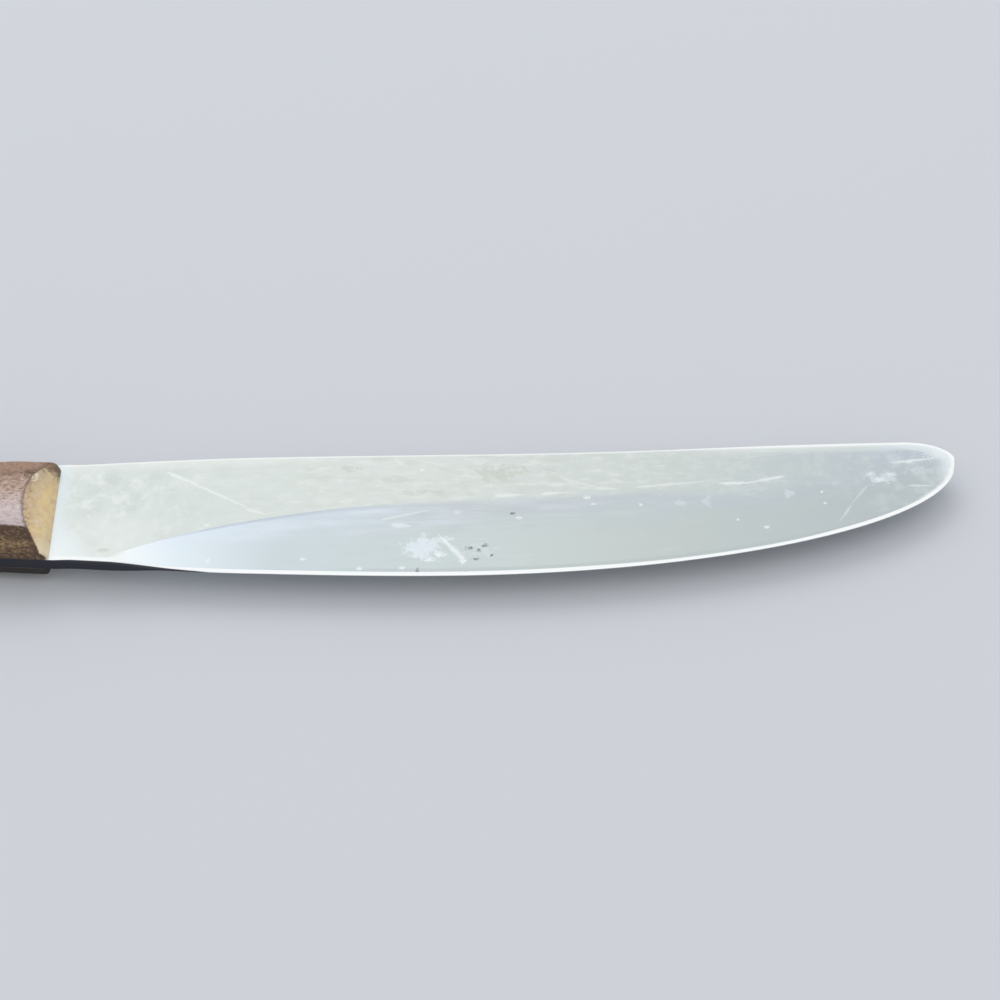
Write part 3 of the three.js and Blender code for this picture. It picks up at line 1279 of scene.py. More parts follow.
    pits: tuple[Patch, ...] = (
        Patch((54.3, -15.7), 0.6, 0.22, 1.3),
        Patch((55.4, -16.1), 0.36, 0.3, 1.3),
        Patch((56.2, -15.4), 0.42, 0.28, 1.3),
        Patch((55.0, -17.5), 0.4, 0.22, 1.3),
        Patch((57.1, -17.0), 0.24, 0.2, 1.3),
        Patch((60.0, -10.5), 0.34, 0.22, 1.0),
        Patch((47.4, -19.2), 0.26, 0.6, 1.0),
        Patch((53.6, -19.6), 0.3, 0.26, 1.0),
        Patch((96.3, -17.0), 0.22, 0.3, 0.6),
        Patch((104.0, -15.0), 0.22, 0.3, 0.6),
    )


class SatinSteel(Finish):
    """Worn satin steel, with painted reflections: bluish in the hollow grind, a bright highlight on the
    cutting bevel and eased corners, and shade on the narrow sides.
    """

    def __init__(self, effects: Effects, look: SteelLook) -> None:
        """Build the material.

        Args:
            effects: The shared effect groups.
            look: Colours, gloss and marks.
        """
        super().__init__("satin_steel", effects)
        self.look = look
        paint = self.paint
        self.waver(reach=0.4, fineness=1.3)
        self.broken = self.cloud(5.0, 5.0, detail=2.0, seed=3.0)
        self.ragged = self.cloud(0.8, 1.0, detail=6.0, rough=0.72)
        crust = self.cloud(2.2, 2.2, detail=3.0, rough=0.6, seed=7.0)
        self.ground, self.across = paint.kept("ground"), paint.kept("hollow")
        self.depth, self.nose_gap = paint.kept("depth"), paint.kept("nose_gap")
        self.bevel = paint.kept("bevel")
        blend = 0.03 + ramp(self.x, 36.0, 58.0) * 0.08 + ramp(self.x, 78.0, 102.0) * 0.4
        hollow = ease(self.across + swing(self.wander) * blend * 0.7, 0.0, blend)
        hollow = hollow * ramp(self.ground, 0.0, 0.25)
        brushed = paint.placed(effects.grain, Length=16.0, Width=0.16, Seed=2.0)
        scratches = larger(
            self.marks(effects.stroke, look.scratches, self.broken),
            self.marks(effects.patch, look.dots, self.broken),
        )
        residue = self.marks(effects.patch, look.residues, self.ragged)
        residue = residue * between(0.6, 1.0, ramp(crust, 0.36, 0.52))
        pits = self.marks(effects.patch, look.pits, self.broken)
        edge = self.painted_glint_share()
        side, far_side = self.painted_shade_side_shares()
        hairs = larger(
            paint.placed(effects.hairlines, Length=18.0, Width=1.4, Lean=0.12, Amount=0.5, Seed=1.0),
            paint.placed(effects.hairlines, Length=9.0, Width=1.1, Lean=-0.6, Amount=0.42, Seed=8.0),
        )
        worn = clamp01(scratches + residue * 0.8)

        colour = paint.layers(
            paint.mix(hollow, self.flat_colour(), self.hollow_colour()),
            [
                (self.shoulder_shade_line(), look.shoulder_crease_shade),
                (self.foot_shade_line(), look.foot_crease_shade),
                (hairs * 0.2, look.scratch),
                (self.tip_wear_and_glint(), look.cool),
                (residue, look.residue),
                (scratches, look.scratch),
                (pits, look.dark),
                # Painted highlights on the bevel and the eased corners.
                (edge, look.bright),
                # Painted shade on the narrow sides, paler where they face away.
                (side, look.side),
                (far_side, look.far_side),
            ],
        )
        haze = paint.placed(effects.mottle, Size=7.0, Start=0.4, End=0.65, Seed=5.0)
        rough = between(look.flat_rough, look.hollow_rough, hollow)
        rough = rough + haze * 0.04 + brushed * 0.06 + worn * 0.15
        values = {
            "Base_Color": colour,
            "Metallic": clamp01(1.0 - residue * 0.5 - pits * 0.6),
            "Roughness": between(between(rough, look.edge_rough, edge), look.side_rough, side),
            "Anisotropic": look.brushing,
        }
        feed(self.shader, values)
        self.bump(brushed * 0.6 - pits * 0.8 + hairs * 0.3, look.relief)

    def flat_colour(self) -> Wire:
        """The unground flat: greenish white at the heel, greyer to the tip, smeared and stained.

        Returns:
            Its colour.
        """
        paint, look, effects = self.paint, self.look, self.effects
        heel = 1.0 - ramp(self.x, 9.0, 24.0) * 0.8
        blotch = paint.placed(effects.mottle, Size=1.7, Start=0.5, End=0.64, Seed=24.0)
        dull = paint.placed(effects.mottle, Size=2.6, Start=0.46, End=0.66, Seed=27.0)
        pale = paint.placed(effects.grain, Length=2.6, Width=0.9, Seed=33.0)
        green = paint.placed(effects.grain, Length=4.0, Width=1.1, Seed=36.0)
        smeared = ramp(self.x, 18.0, 34.0) * (1.0 - ramp(self.x, 66.0, 96.0) * 0.75)
        low = ramp(self.y, -9.0, -15.5)
        # A pale clean strip just ahead of the scales, with a painted glint at its near end.
        joint_strip_and_glint = fade(self.x + swing(self.wander) * 1.5, 0.6, 1.9 + low * 4.0)
        ends = 1.0 - ramp(self.x, 30.0, 42.0) * fade(self.x, 82.0, 92.0)
        rubbed = ramp(self.y, -7.5, -11.5) * fade(self.x, 9.0, 17.0)
        return paint.layers(
            paint.gradient(self.x / look.length, look.flat),
            [
                (dull * heel * 0.65, look.dull),
                (blotch * heel * 0.75, look.cream),
                (ramp(green, 0.5, 0.7) * smeared * 0.4, look.olive),
                (ramp(pale, 0.5, 0.68) * smeared * 0.6, look.cream),
                (larger(ramp(self.depth, 1.9, 0.6) * ends * 0.6, rubbed * 0.5), look.cream),
                (joint_strip_and_glint * 0.85, look.cool),
                (joint_strip_and_glint * low * 0.9, look.plunge),
                (self.marks(effects.patch, look.stains, self.ragged), look.olive),
            ],
        )

    def hollow_colour(self) -> Wire:
        """The hollow grind: a painted bluish reflection below the shoulder, grey-green towards the edge,
        and a painted glint where the grind starts.

        Returns:
            Its colour.
        """
        paint, look, effects = self.paint, self.look, self.effects
        wobble = paint.placed(effects.mottle, Size=8.0, Start=0.2, End=0.8, Seed=40.0)
        mist = paint.placed(effects.grain, Length=9.0, Width=0.9, Seed=43.0)
        ash = paint.placed(effects.grain, Length=5.0, Width=0.8, Seed=48.0)
        place = self.x / look.length
        # Painted bluish reflection below the shoulder.
        blue = paint.gradient(place, look.upper_hollow_sheen)
        grey = paint.gradient(place, look.lower_hollow)
        high = fade(self.across, 0.25, 0.6)
        wiped = ramp(self.x, 14.0, 22.0) * (1.0 - ramp(self.x, 52.0, 80.0) * 0.8)
        # Painted glint in the hollow where the grind starts.
        plunge_glint_share = 1.0 - ease(self.x, 9.0, 17.0)
        return paint.layers(
            paint.mix(ease(self.across + swing(wobble) * 0.3, 0.2, 0.6), blue, grey),
            [
                (ramp(mist, 0.46, 0.66) * high * wiped * 0.6, look.mist),
                (ramp(ash, 0.5, 0.68) * ramp(self.x, 20.0, 36.0) * 0.3, look.ash),
                (plunge_glint_share, look.plunge),
            ],
        )

    def shoulder_shade_line(self) -> Field:
        """Painted shade: a thin dark line along the crease of the grind's shoulder near the heel.

        Returns:
            Its mask.
        """
        line = ramp(self.across, 0.0, 0.012) * fade(self.across, 0.03, 0.08)
        reach = ramp(self.x, 14.0, 20.0) * fade(self.x, 32.0, 52.0)
        return line * reach * ramp(self.broken, 0.2, 0.45) * 0.7

    def foot_shade_line(self) -> Field:
        """Mask of the painted shade, a thin dark line along the crease where the hollow meets the bevel.
        """
        line = ramp(self.across, 0.96, 0.985) * fade(self.bevel, 0.16, 0.3)
        return line * ramp(self.x, 34.0, 44.0) * 0.45

    def tip_wear_and_glint(self) -> Field:
        """Cloudy rubbing on the last part of the blade, with a painted glint round the upper nose.

        Returns:
            Its mask.
        """
        cloud = self.paint.placed(self.effects.mottle, Size=2.2, Start=0.5, End=0.68, Seed=46.0)
        # Painted glint: a pale band round the upper nose, near the spine.
        inner = ease(self.nose_gap + swing(self.ragged) * 3.0, 0.4, 3.2)
        nose = (1.0 - inner) * ramp(self.x, 108.0, 118.0)
        rubbed = cloud * ramp(self.x, 102.0, 113.0) * 0.3
        return larger(rubbed, nose * ramp(self.depth, 7.0, 3.5) * 0.95)

    def painted_glint_share(self) -> Field:
        """Painted highlights: the bright bevel along the edge and the bright eased corners along spine,
        heel and nose.

        Returns:
            Their mask.
        """
        narrow = ramp(self.x, 70.0, 80.0) * fade(self.x, 97.0, 103.0) * 0.14
        bevel = ramp(self.bevel - narrow, 0.22, 0.34) * ramp(self.x, -0.4, 0.4)
        heel = ramp(self.across, 0.2, 0.45) * fade(self.ground, 0.0, 0.3) * ramp(self.x, 0.0, 0.6)
        spine = fade(self.depth, 0.3, 0.5 + ramp(self.x, 84.0, 98.0) * 0.25)
        spine = spine * ramp(self.x, -0.4, 0.8) * between(0.7, 0.95, ramp(self.x, 80.0, 98.0))
        inner = ease(self.nose_gap + swing(self.ragged) * 0.7, 0.2, 0.85)
        nose = (1.0 - inner) * ramp(self.x, 112.0, 115.5)
        return largest([bevel, heel * 0.9, spine, nose])

    def painted_shade_side_shares(self) -> tuple[Field, Field]:
        """The tang and heel sides, painted dark as shade and dark reflection, with the dark corner that
        runs out into the bevel.

        Returns:
            Their mask, and the mask of their paler places, along the spine and far back.
        """
        tang = fade(self.x, -2.2, -1.8)
        heel = ramp(self.paint.kept("land"), 0.0, 0.1) * fade(self.x, 13.0, 16.0)
        _, away, up = self.paint.facing()
        corner = ramp(self.bevel - ramp(self.x, 8.0, 22.0), 0.05, 0.2)
        side = largest([tang, heel * fade(abs(up), 0.25, 0.6), corner])
        return side, side * larger(ramp(away, 0.1, 0.5), ramp(self.x, -9.0, -26.0) * 0.8)


@dataclass(frozen=True)
class WoodLook:
    """Colours, gloss and marks of the stained wood."""

    stained_rough: float = 0.5
    bare_rough: float = 0.75
    coat: float = 0.1
    coat_rough: float = 0.3
    relief: float = 0.018
    # Across the flat: brown on the far side, rising to a painted pinkish sheen on the near side.
    flat: Stops = (
        (0.0, srgb(150, 124, 104)),
        (0.35, srgb(180, 154, 140)),
        (0.72, srgb(208, 193, 194)),
        (1.0, srgb(193, 178, 180)),
    )
    flat_from: float = -2.6
    flat_to: float = -12.2
    flat_body: Colour = srgb(172, 143, 128)
    flat_dark: Colour = srgb(116, 86, 70)
    flat_light: Colour = srgb(216, 200, 192)
    # Painted light: the far chamfer lighter, as lit from behind.
    far: Colour = srgb(164, 130, 108)
    # Chamfers and sides: dark stained wood, painted darker as the near side's shade.
    side: Colour = srgb(106, 78, 52)
    side_dark: Colour = srgb(62, 36, 18)
    side_streak: Colour = srgb(154, 130, 90)
    # Painted shade for the lower scale's near side.
    under: Colour = srgb(12, 11, 13)
    pore: Colour = srgb(84, 60, 46)
    bare: Colour = srgb(200, 178, 146)
    bare_front: Colour = srgb(215, 193, 153)
    bare_gold: Colour = srgb(226, 199, 142)
    bare_pink: Colour = srgb(204, 168, 134)
    bare_pale: Colour = srgb(228, 217, 194)
    bare_dull: Colour = srgb(166, 138, 104)
    bare_grey: Colour = srgb(172, 158, 138)
    rim: Colour = srgb(92, 68, 54)
    corner: Colour = srgb(88, 64, 50)
    flakes: tuple[Patch, ...] = (Patch((-2.6, -4.3), 0.5, 0.9, 0.7, 0.75),)
    knocks: tuple[Patch, ...] = (Patch((-3.5, -3.3), 0.7, 0.9, 1.2, 0.75),)


class StainedWood(Finish):
    """Red-brown stained wood, worn dull on the flats, with bare wood on the rounded fronts."""

    def __init__(self, effects: Effects, look: WoodLook, scale: "ScaleShape") -> None:
        """Build the material.

        Args:
            effects: The shared effect groups.
            look: Colours, gloss and marks.
            scale: Shape of the scales, for where their faces lie.
        """
        super().__init__("stained_wood", effects)
        self.look = look
        self.scale = scale
        paint = self.paint
        _, self.facing_y, up = paint.facing()
        self.facing_up = abs(up)
        self.fibre = paint.placed(effects.grain, Length=7.0, Width=0.42, Seed=3.0)
        self.fine = paint.placed(effects.grain, Length=0.5, Width=0.3, Seed=9.0)
        self.broad = paint.placed(effects.grain, Length=22.0, Width=0.8, Seed=15.0)
        self.behind = ramp(self.x, -9.0, -24.0)
        pores = ramp(paint.placed(effects.grain, Length=1.8, Width=0.16, Seed=12.0), 0.57, 0.65)
        cloud = paint.placed(effects.mottle, Size=0.8, Start=0.2, End=0.8, Seed=18.0)
        self.wobble = swing(cloud)
        self.waver(reach=0.6, fineness=1.7)
        where = paint.vector(self.x * 1.6, self.y * 1.6, self.z * 1.6)
        self.ragged = paint.noise(where, detail=5.0, rough=0.7)
        ahead = self.front_depth() + self.wobble * 0.35
        outer = larger(ramp(self.z, -0.2, 0.2), ramp(self.facing_up, 0.4, 0.7))
        off = (self.y - scale.front_middle) / scale.front_half
        top = scale.thickness + scale.half_steel - smaller(off * off, 1.0) * scale.crown
        self.below = top - abs(self.z)
        uneven = swing(self.ragged) * 0.9
        bare = ramp(ahead + uneven * 0.5, -0.46, -0.26) * outer
        bare = bare * ramp(self.below + uneven, -0.08, 0.16)
        rim = ramp(ahead + uneven + swing(self.fine) * 0.5, -0.85, -0.4) * (1.0 - bare) * outer

        stained = paint.mix(self.flat_share(), self.side_colour(), self.flat_colour())
        stained = paint.layers(
            stained,
            [
                (pores * between(0.35, 0.55, self.behind), look.pore),
                (rim * 0.8, look.rim),
                (self.marks(effects.patch, look.knocks, self.ragged), look.corner),
            ],
        )
        stained_rough = look.stained_rough + self.fine * 0.12 + pores * 0.2
        values = {
            "Base_Color": paint.mix(bare, stained, self.bare_colour()),
            "Roughness": between(stained_rough, look.bare_rough, bare),
            "Coat_Weight": (1.0 - bare) * look.coat,
            "Coat_Roughness": look.coat_rough,
        }
        feed(self.shader, values)
        self.bump(self.fibre * 0.4 + self.fine * 0.5 - pores * 0.6, look.relief)

    def front_depth(self) -> Field:
        """How far a place lies ahead of the scales' rounded front.

        Returns:
            The distance, 0 on the front and negative behind it.
        """
        scale = self.scale
        height = abs(self.z) - scale.half_steel
        off = (self.y - scale.front_middle) / scale.front_half
        bowed = 1.0 + smaller(off * off, scale.bow_limit) * scale.front_bow
        return self.x * bowed + height * scale.front_lean + height * height * scale.front_curl

    def flat_share(self) -> Field:
        """Mask of the scales' flat faces."""
        return ramp(self.facing_up + self.wobble * 0.012, 0.976, 0.993)

    def flat_colour(self) -> Wire:
        """The worn flats: brown far from the edge's side, with a painted pinkish sheen near it, all
        flecked.

        Returns:
            Their colour.
        """
        look = self.look
        # Across the flat, from brown on the far side to a painted pinkish sheen on the near side.
        across = ramp(self.y + self.wobble * 0.8, look.flat_from, look.flat_to)
        # Fibres and flecks fade out under the painted sheen.
        off_sheen = 1.0 - ease(across, 0.45, 0.75) * 0.6
        speckle = off_sheen * (1.0 - self.behind * 0.5)
        return self.paint.layers(
            self.paint.gradient(across, look.flat),
            [
                (self.behind * 0.7, look.flat_body),
                (ramp(self.broad, 0.46, 0.62) * (0.1 + self.behind * 0.4), look.flat_dark),
                (ramp(self.fibre, 0.5, 0.66) * off_sheen * 0.3, look.flat_dark),
                (ramp(self.fine, 0.53, 0.66) * speckle * 0.45, look.flat_light),
                (fade(self.fine, 0.38, 0.5) * speckle * 0.75, look.flat_dark),
            ],
        )

    def side_colour(self) -> Wire:
        """The chamfers and sides: dark brown, rubbed to tan streaks half way up the chamfer, painted
        lighter on the far side as lit and darker in a band below the flat as shade.

        Returns:
            Their colour.
        """
        look, scale = self.look, self.scale
        far = ramp(self.facing_y, 0.1, 0.3) * ramp(self.facing_up, 0.5, 0.8)
        # Painted shade: the lower scale's near side painted near black, as if in shadow, less so further
        # back.
        under = ramp(self.z, -0.9, -1.0) * fade(self.facing_up, 0.3, 0.8)
        under = under * ramp(self.facing_y, 0.3, -0.1)
        foot = scale.half_steel + scale.wall
        climb = ramp(abs(self.z) + self.wobble * 0.5, foot, scale.half_steel + scale.thickness)
        rubbed = ramp(climb, -0.15, 0.1) * fade(climb, 0.4, 0.6) * 0.85
        streaks = ramp(self.broad, 0.44, 0.58) * 0.5 + ramp(self.fibre, 0.46, 0.6) * 0.5
        patchy = self.paint.placed(self.effects.mottle, Size=0.9, Start=0.46, End=0.58, Seed=72.0)
        end = ramp(self.front_depth() + self.wobble, -2.2, -0.7) * (1.0 - far * 0.2)
        flecked = 1.0 - self.behind * 0.8
        dark_flecks = fade(self.fine, 0.4, 0.5) * flecked
        shaded = ramp(climb, 0.42, 0.62) * (1.0 - ramp(climb, 0.76, 1.0) * 0.8)
        shaded = shaded * between(1.0, ramp(self.broad, 0.4, 0.6), self.behind)
        light_flecks = ramp(self.fine, 0.52, 0.64) * (1.0 - far) * flecked
        return self.paint.layers(
            look.side,
            [
                (ramp(self.fibre, 0.44, 0.6) * 0.75, look.side_dark),
                (rubbed * streaks, look.side_streak),
                (patchy * flecked * 0.55, look.side_dark),
                (shaded * larger(ramp(self.fine, 0.3, 0.5), self.behind) * 0.85, look.side_dark),
                (ramp(self.broad, 0.5, 0.62) * self.behind * 0.45, look.side_streak),
                # Painted light: the far chamfer lighter, as lit from behind.
                (far * 0.85, look.far),
                (far * ramp(self.broad, 0.46, 0.62) * (0.1 + self.behind * 0.4), look.flat_dark),
                (light_flecks * 0.5, look.side_streak),
                (dark_flecks * between(0.9, 0.55, far), look.side_dark),
                (end * 0.55, look.side_dark),
                (under * between(0.92, 0.2, self.behind), look.under),
            ],
        )

    def bare_colour(self) -> Wire:
        """The bare fronts: mottled tan and gold, darker brown at the far corner, with a painted glint
        towards the steel on the near side.

        Returns:
            Their colour.
        """
        look, paint, effects = self.look, self.paint, self.effects
        gold = paint.placed(effects.mottle, Size=1.5, Start=0.44, End=0.6, Seed=50.0)
        pink = paint.placed(effects.mottle, Size=1.0, Start=0.48, End=0.62, Seed=53.0)
        pale = paint.placed(effects.mottle, Size=1.1, Start=0.52, End=0.7, Seed=57.0)
        flecks = paint.placed(effects.specks, Spacing=0.5, Size=0.14, Share=0.45, Seed=2.0)
        lower = ramp(self.x, -2.4, -0.8)
        grey = ramp(self.y + self.wobble * 1.5, -6.5, -3.2)
        torn = swing(self.ragged) * 4.0 + swing(self.fine) * 2.0
        corner = ramp(self.y + torn, -3.2, -2.1)
        # Painted glint: the bare front turns near white towards the steel on the near side.
        near = ramp(self.y + self.wobble * 2.0, -13.0, -15.2) * lower
        border = fade(self.below + swing(self.ragged) * 2.5, 0.1, 0.7)
        return paint.layers(
            paint.mix(lower, look.bare, look.bare_front),
            [
                (gold * (0.3 + lower * 0.5), look.bare_gold),
                (pink * 0.55, look.bare_pink),
                (pale * 0.45, look.bare_pale),
                (flecks * 0.55, look.bare_dull),
                (near * 0.6, look.bare_pale),
                (border * 0.3, look.bare_dull),
                (grey * (1.0 - lower * 0.75) * 0.7, look.bare_grey),
                (corner * (0.6 + lower * 0.25), look.corner),
                (corner * ramp(self.fine, 0.5, 0.62) * 0.4, look.bare_dull),
                (self.marks(effects.patch, look.flakes, self.ragged), look.bare_pale),
            ],
        )


@dataclass(frozen=True)
class BrassLook:
    """Colours and gloss of the rivets."""

    rough: float = 0.3
    relief: float = 0.008
    brass: Colour = srgb(198, 164, 98)
    bright: Colour = srgb(222, 192, 128)
    dull: Colour = srgb(140, 112, 68)
    dark: Colour = srgb(98, 76, 46)
    rim_from: float = 2.4
    rim_to: float = 3.2


class DullBrass(Finish):
    """Brass ground flush with the wood, dulled and scratched."""

    def __init__(self, effects: Effects, look: BrassLook) -> None:
        """Build the material.

        Args:
            effects: The shared effect groups.
            look: Colours and gloss.
        """
        super().__init__("dull_brass", effects)
        paint = self.paint
        tarnish = paint.placed(effects.mottle, Size=1.6, Start=0.42, End=0.68, Seed=61.0)
        ground = paint.placed(effects.grain, Length=6.0, Width=0.12, Seed=64.0)
        hairs = paint.placed(effects.hairlines, Length=5.0, Width=0.6, Lean=0.8, Amount=0.6, Seed=67.0)
        specks = paint.placed(effects.specks, Spacing=0.9, Size=0.12, Share=0.3, Seed=69.0)
        rim = ease(paint.kept("turned_radius") + swing(tarnish) * 0.5, look.rim_from, look.rim_to)
        colour = paint.layers(
            look.brass,
            [
                (ramp(ground, 0.48, 0.66) * 0.7, look.bright),
                (fade(ground, 0.34, 0.5) * 0.5, look.dull),
                (tarnish * 0.6, look.dull),
                (hairs * 0.6, look.bright),
                (specks * 0.7, look.dark),
                (rim * 0.6, look.dark),
            ],
        )
        rough = look.rough + tarnish * 0.16 + ground * 0.08
        feed(self.shader, {"Base_Color": colour, "Metallic": 1.0, "Roughness": rough})
        self.bump(ground * 0.6 + hairs * 0.4 - specks * 0.5, look.relief)


# The pieces


@dataclass(frozen=True)
class BlankSizes:
    """Sizes of the steel blank that are inputs of its tree."""

    steel_thickness: float = 1.9
    tip_thickness: float = 1.0
    eased_corner: float = 0.25
    tang_corner: float = 0.02
    easing_run: float = 3.0
    grind_from_heel: float = 7.0
    grind_plunge: float = 9.0
    grind_sweep: float = 26.0
    grind_shoulder: float = 6.0
    grind_exit_run: float = 25.0
    hollow_radius: float = 140.0
    bevel_width: float = 0.7
    bevel_back: float = 0.45
    edge_land: float = 0.12


@dataclass
class Blade:
    """The steel blank: blade and full tang in one, hollow ground on both sides."""

    place: Place
    outline: Outline
    material: Material
    sizes: BlankSizes = BlankSizes()
    narrow_width: float = 4.0
    least_strip: float = 0.8
    most_sag: float = 0.25
    closing_width: float = 0.5
    stations: int = 620
    corner_rows: int = 4
    flat_rows: int = 8
    hollow_rows: int = 22
    bevel_rows: int = 3
    seam_reach: float = 0.1
    merge_gap: float = 0.0003
    weld: float = 1e-8

    def tree(self) -> Shaping:
        """The rule of the blade: a sheet of sections, mirrored about the middle of the steel.

        Returns:
            The tree that makes the whole blank.
        """
        tree = Shaping("ground_blade")
        size = tree.sizes(asdict(self.sizes))
        line = self.outline
        corner_at, flat_at = 1, 1 + self.corner_rows
        hollow_at = flat_at + self.flat_rows
        bevel_at = hollow_at + self.hollow_rows
        land_at = bevel_at + self.bevel_rows
        mesh, along, row = tree.sheet(self.stations, land_at + 1)

        x = between(-line.handle_length, line.blade_length, (1.0 - cosine(along * math.pi)) * 0.5)
        spine, edge = line.spine(x), line.edge(x)
        width = spine - edge
        drawn_in = clamp01(width / self.narrow_width)
        ground = ease(x, size.grind_from_heel, size.grind_from_heel + size.grind_plunge)
        thinning = ease(x, line.nose_x - size.grind_exit_run, line.blade_length)
        half_spine = between(size.steel_thickness, size.tip_thickness, thinning) * 0.5
        eased = ease(x, 0.0, size.easing_run)
        corner = between(size.tang_corner, size.eased_corner, eased) * drawn_in
        bevel = between(corner, size.bevel_width * drawn_in, ground)
        half_bevel = between(half_spine, size.bevel_back * 0.5, ground)
        half_edge = between(half_spine - corner, size.edge_land * 0.5, ground)

        strip = drawn_in * self.least_strip
        foot, flat_start = edge + bevel, spine - corner
        sweep = step("EXPONENT", (size.grind_from_heel - x) / size.grind_sweep)
        leaving = larger((x - line.nose_x) / size.grind_exit_run + 1.0, 0.0)
        depth = between(size.grind_shoulder, line.heel_width, sweep)
        depth = depth * larger(1.0 - leaving * leaving, 0.0)
        shoulder = larger(smaller(spine - depth, flat_start - strip), foot + strip)
        thinned = half_spine - half_bevel
        hollow_width = shoulder - foot
        arc = hollow_width * hollow_width / (size.hollow_radius * 8.0)
        sag = smaller(arc, thinned * self.most_sag)

        turn = ramp(row, corner_at, flat_at) * (math.pi / 2.0)
        over_flat = ramp(row, flat_at, hollow_at)
        over_hollow = ramp(row, hollow_at, bevel_at)
        over_bevel = ramp(row, bevel_at, land_at)
        over_land = clamp01(row - land_at)
        y = spine - corner * (1.0 - cosine(turn)) - over_flat * (flat_start - shoulder)
        y = y - over_hollow * hollow_width - over_bevel * bevel
        z = clamp01(row) * (half_spine - corner) + corner * sine(turn)
        z = z - over_hollow * thinned - 4.0 * sag * over_hollow * (1.0 - over_hollow)
        z = z - over_bevel * (half_bevel - half_edge) - over_land * half_edge
        z = z * root(clamp01(width / self.closing_width))

        kept_values = {
            "ground": ground,
            "hollow": over_hollow,
            "bevel": over_bevel,
            "land": over_land,
            "depth": spine - y,
            "nose_gap": line.nose_gap(x, y),
            "row": row,
        }
        for name, value in kept_values.items():
            mesh = tree.store(mesh, name, value)
        whole = tree.merged(tree.mirrored(tree.moved(mesh, x, y, z)), self.merge_gap)
        kept_row = tree.kept("row")
        off_seams = [abs(kept_row - seam) for seam in (hollow_at, bevel_at, land_at)]
        crisp = step("LESS_THAN", reduce(smaller, off_seams), self.seam_reach)
        tree.finish(tree.creased(whole, crisp), self.place, self.material)
        return tree

    def build(self) -> list[Object]:
        """Make the blade and tie it to its node.

        Returns:
            The one piece.
        """
        piece = self.tree().make("ground_blade", asdict(self.sizes))
        close_up(piece, self.weld)
        dress(piece, ["blade"])
        return [piece]


@dataclass(frozen=True)
class ScaleShape:
    """Sizes of a handle scale."""

    half_steel: float = 0.95
    thickness: float = 2.9
    wall: float = 1.3
    chamfer: float = 3.1
    front_run: float = 3.3
    front_bulge: float = 0.5
    front_closing: float = 0.05
    crown: float = 0.2
    chamfer_crown: float = 0.375
    softness: float = 0.13
    far_wear: float = 0.45
    far_wear_run: float = 6.5
    far_wear_end: float = 1.0
    corner_wear: float = 0.6
    corner_run: float = 2.0
    near_wear: float = 0.6
    near_run: float = 1.1
    front_lean: float = 0.2187
    front_curl: float = 0.317
    front_bow: float = 0.75
    bow_limit: float = 0.4
    front_middle: float = -7.9
    front_half: float = 7.7

    def front_height(self, x: np.ndarray) -> np.ndarray:
        """Height of the rounded front above the steel.

        Args:
            x: Places along the handle, negative behind the front.

        Returns:
            Heights, rising straight on behind the rounding.
        """
        slant = math.hypot(self.front_run, self.thickness)
        pull_x = self.front_run / 2.0 - 2.0 * self.front_bulge * self.thickness / slant
        pull_z = self.thickness / 2.0 + 2.0 * self.front_bulge * self.front_run / slant
        back = np.maximum(-x, 0.0)
        bend = self.front_run - 2.0 * pull_x
        share = (np.sqrt(pull_x**2 + bend * np.minimum(back, self.front_run)) - pull_x) / bend
        height = 2.0 * pull_z * share + (self.thickness - 2.0 * pull_z) * share**2
        end_slope = (self.thickness - pull_z) / (self.front_run - pull_x)
        return height + end_slope * np.maximum(back - self.front_run, 0.0)

    def far_rim(self, x: np.ndarray, spine: np.ndarray) -> np.ndarray:
        """The far outline of a scale, worn away towards its front corner.

        Args:
            x: Places along the handle.
            spine: Heights of the spine there.

        Returns:
            Heights of the outline.
        """
        worn = self.far_wear * ease(x, -self.far_wear_run, -self.far_wear_end)
        rounded = self.corner_wear * (1.0 - ellipse_share(x + self.corner_run, self.corner_run))
        return spine - worn - rounded

    def near_rim(self, x: np.ndarray, edge: np.ndarray) -> np.ndarray:
        """The near outline of a scale, rounded off at its front corner."""
        return edge + self.near_wear * (1.0 - ellipse_share(x + self.near_run, self.near_run))

    def height(self, x: np.ndarray, inset: np.ndarray, off_centre: np.ndarray) -> np.ndarray:
        """Height of a scale above the steel, where its faces meet in worn edges.

        Args:
            x: Places along the handle.
            inset: Distances in from the outline.
            off_centre: Shares of the way from the middle line to the outline.

        Returns:
            Heights.
        """
        flat = self.thickness - self.crown * off_centre**2
        chamfer_top = self.thickness - self.crown * self.chamfer_crown
        slope = self.wall + (chamfer_top - self.wall) / self.chamfer * inset
        bowed = 1.0 + self.front_bow * np.minimum(off_centre**2, self.bow_limit)
        faces = np.stack([flat, slope, self.front_height(x * bowed)])
        lowest = faces.min(axis=0)
        worn = lowest - self.softness * np.log(np.exp((lowest - faces) / self.softness).sum(axis=0))
        return np.maximum(worn, 0.0) * np.clip(-x / self.front_closing, 0.0, 1.0)


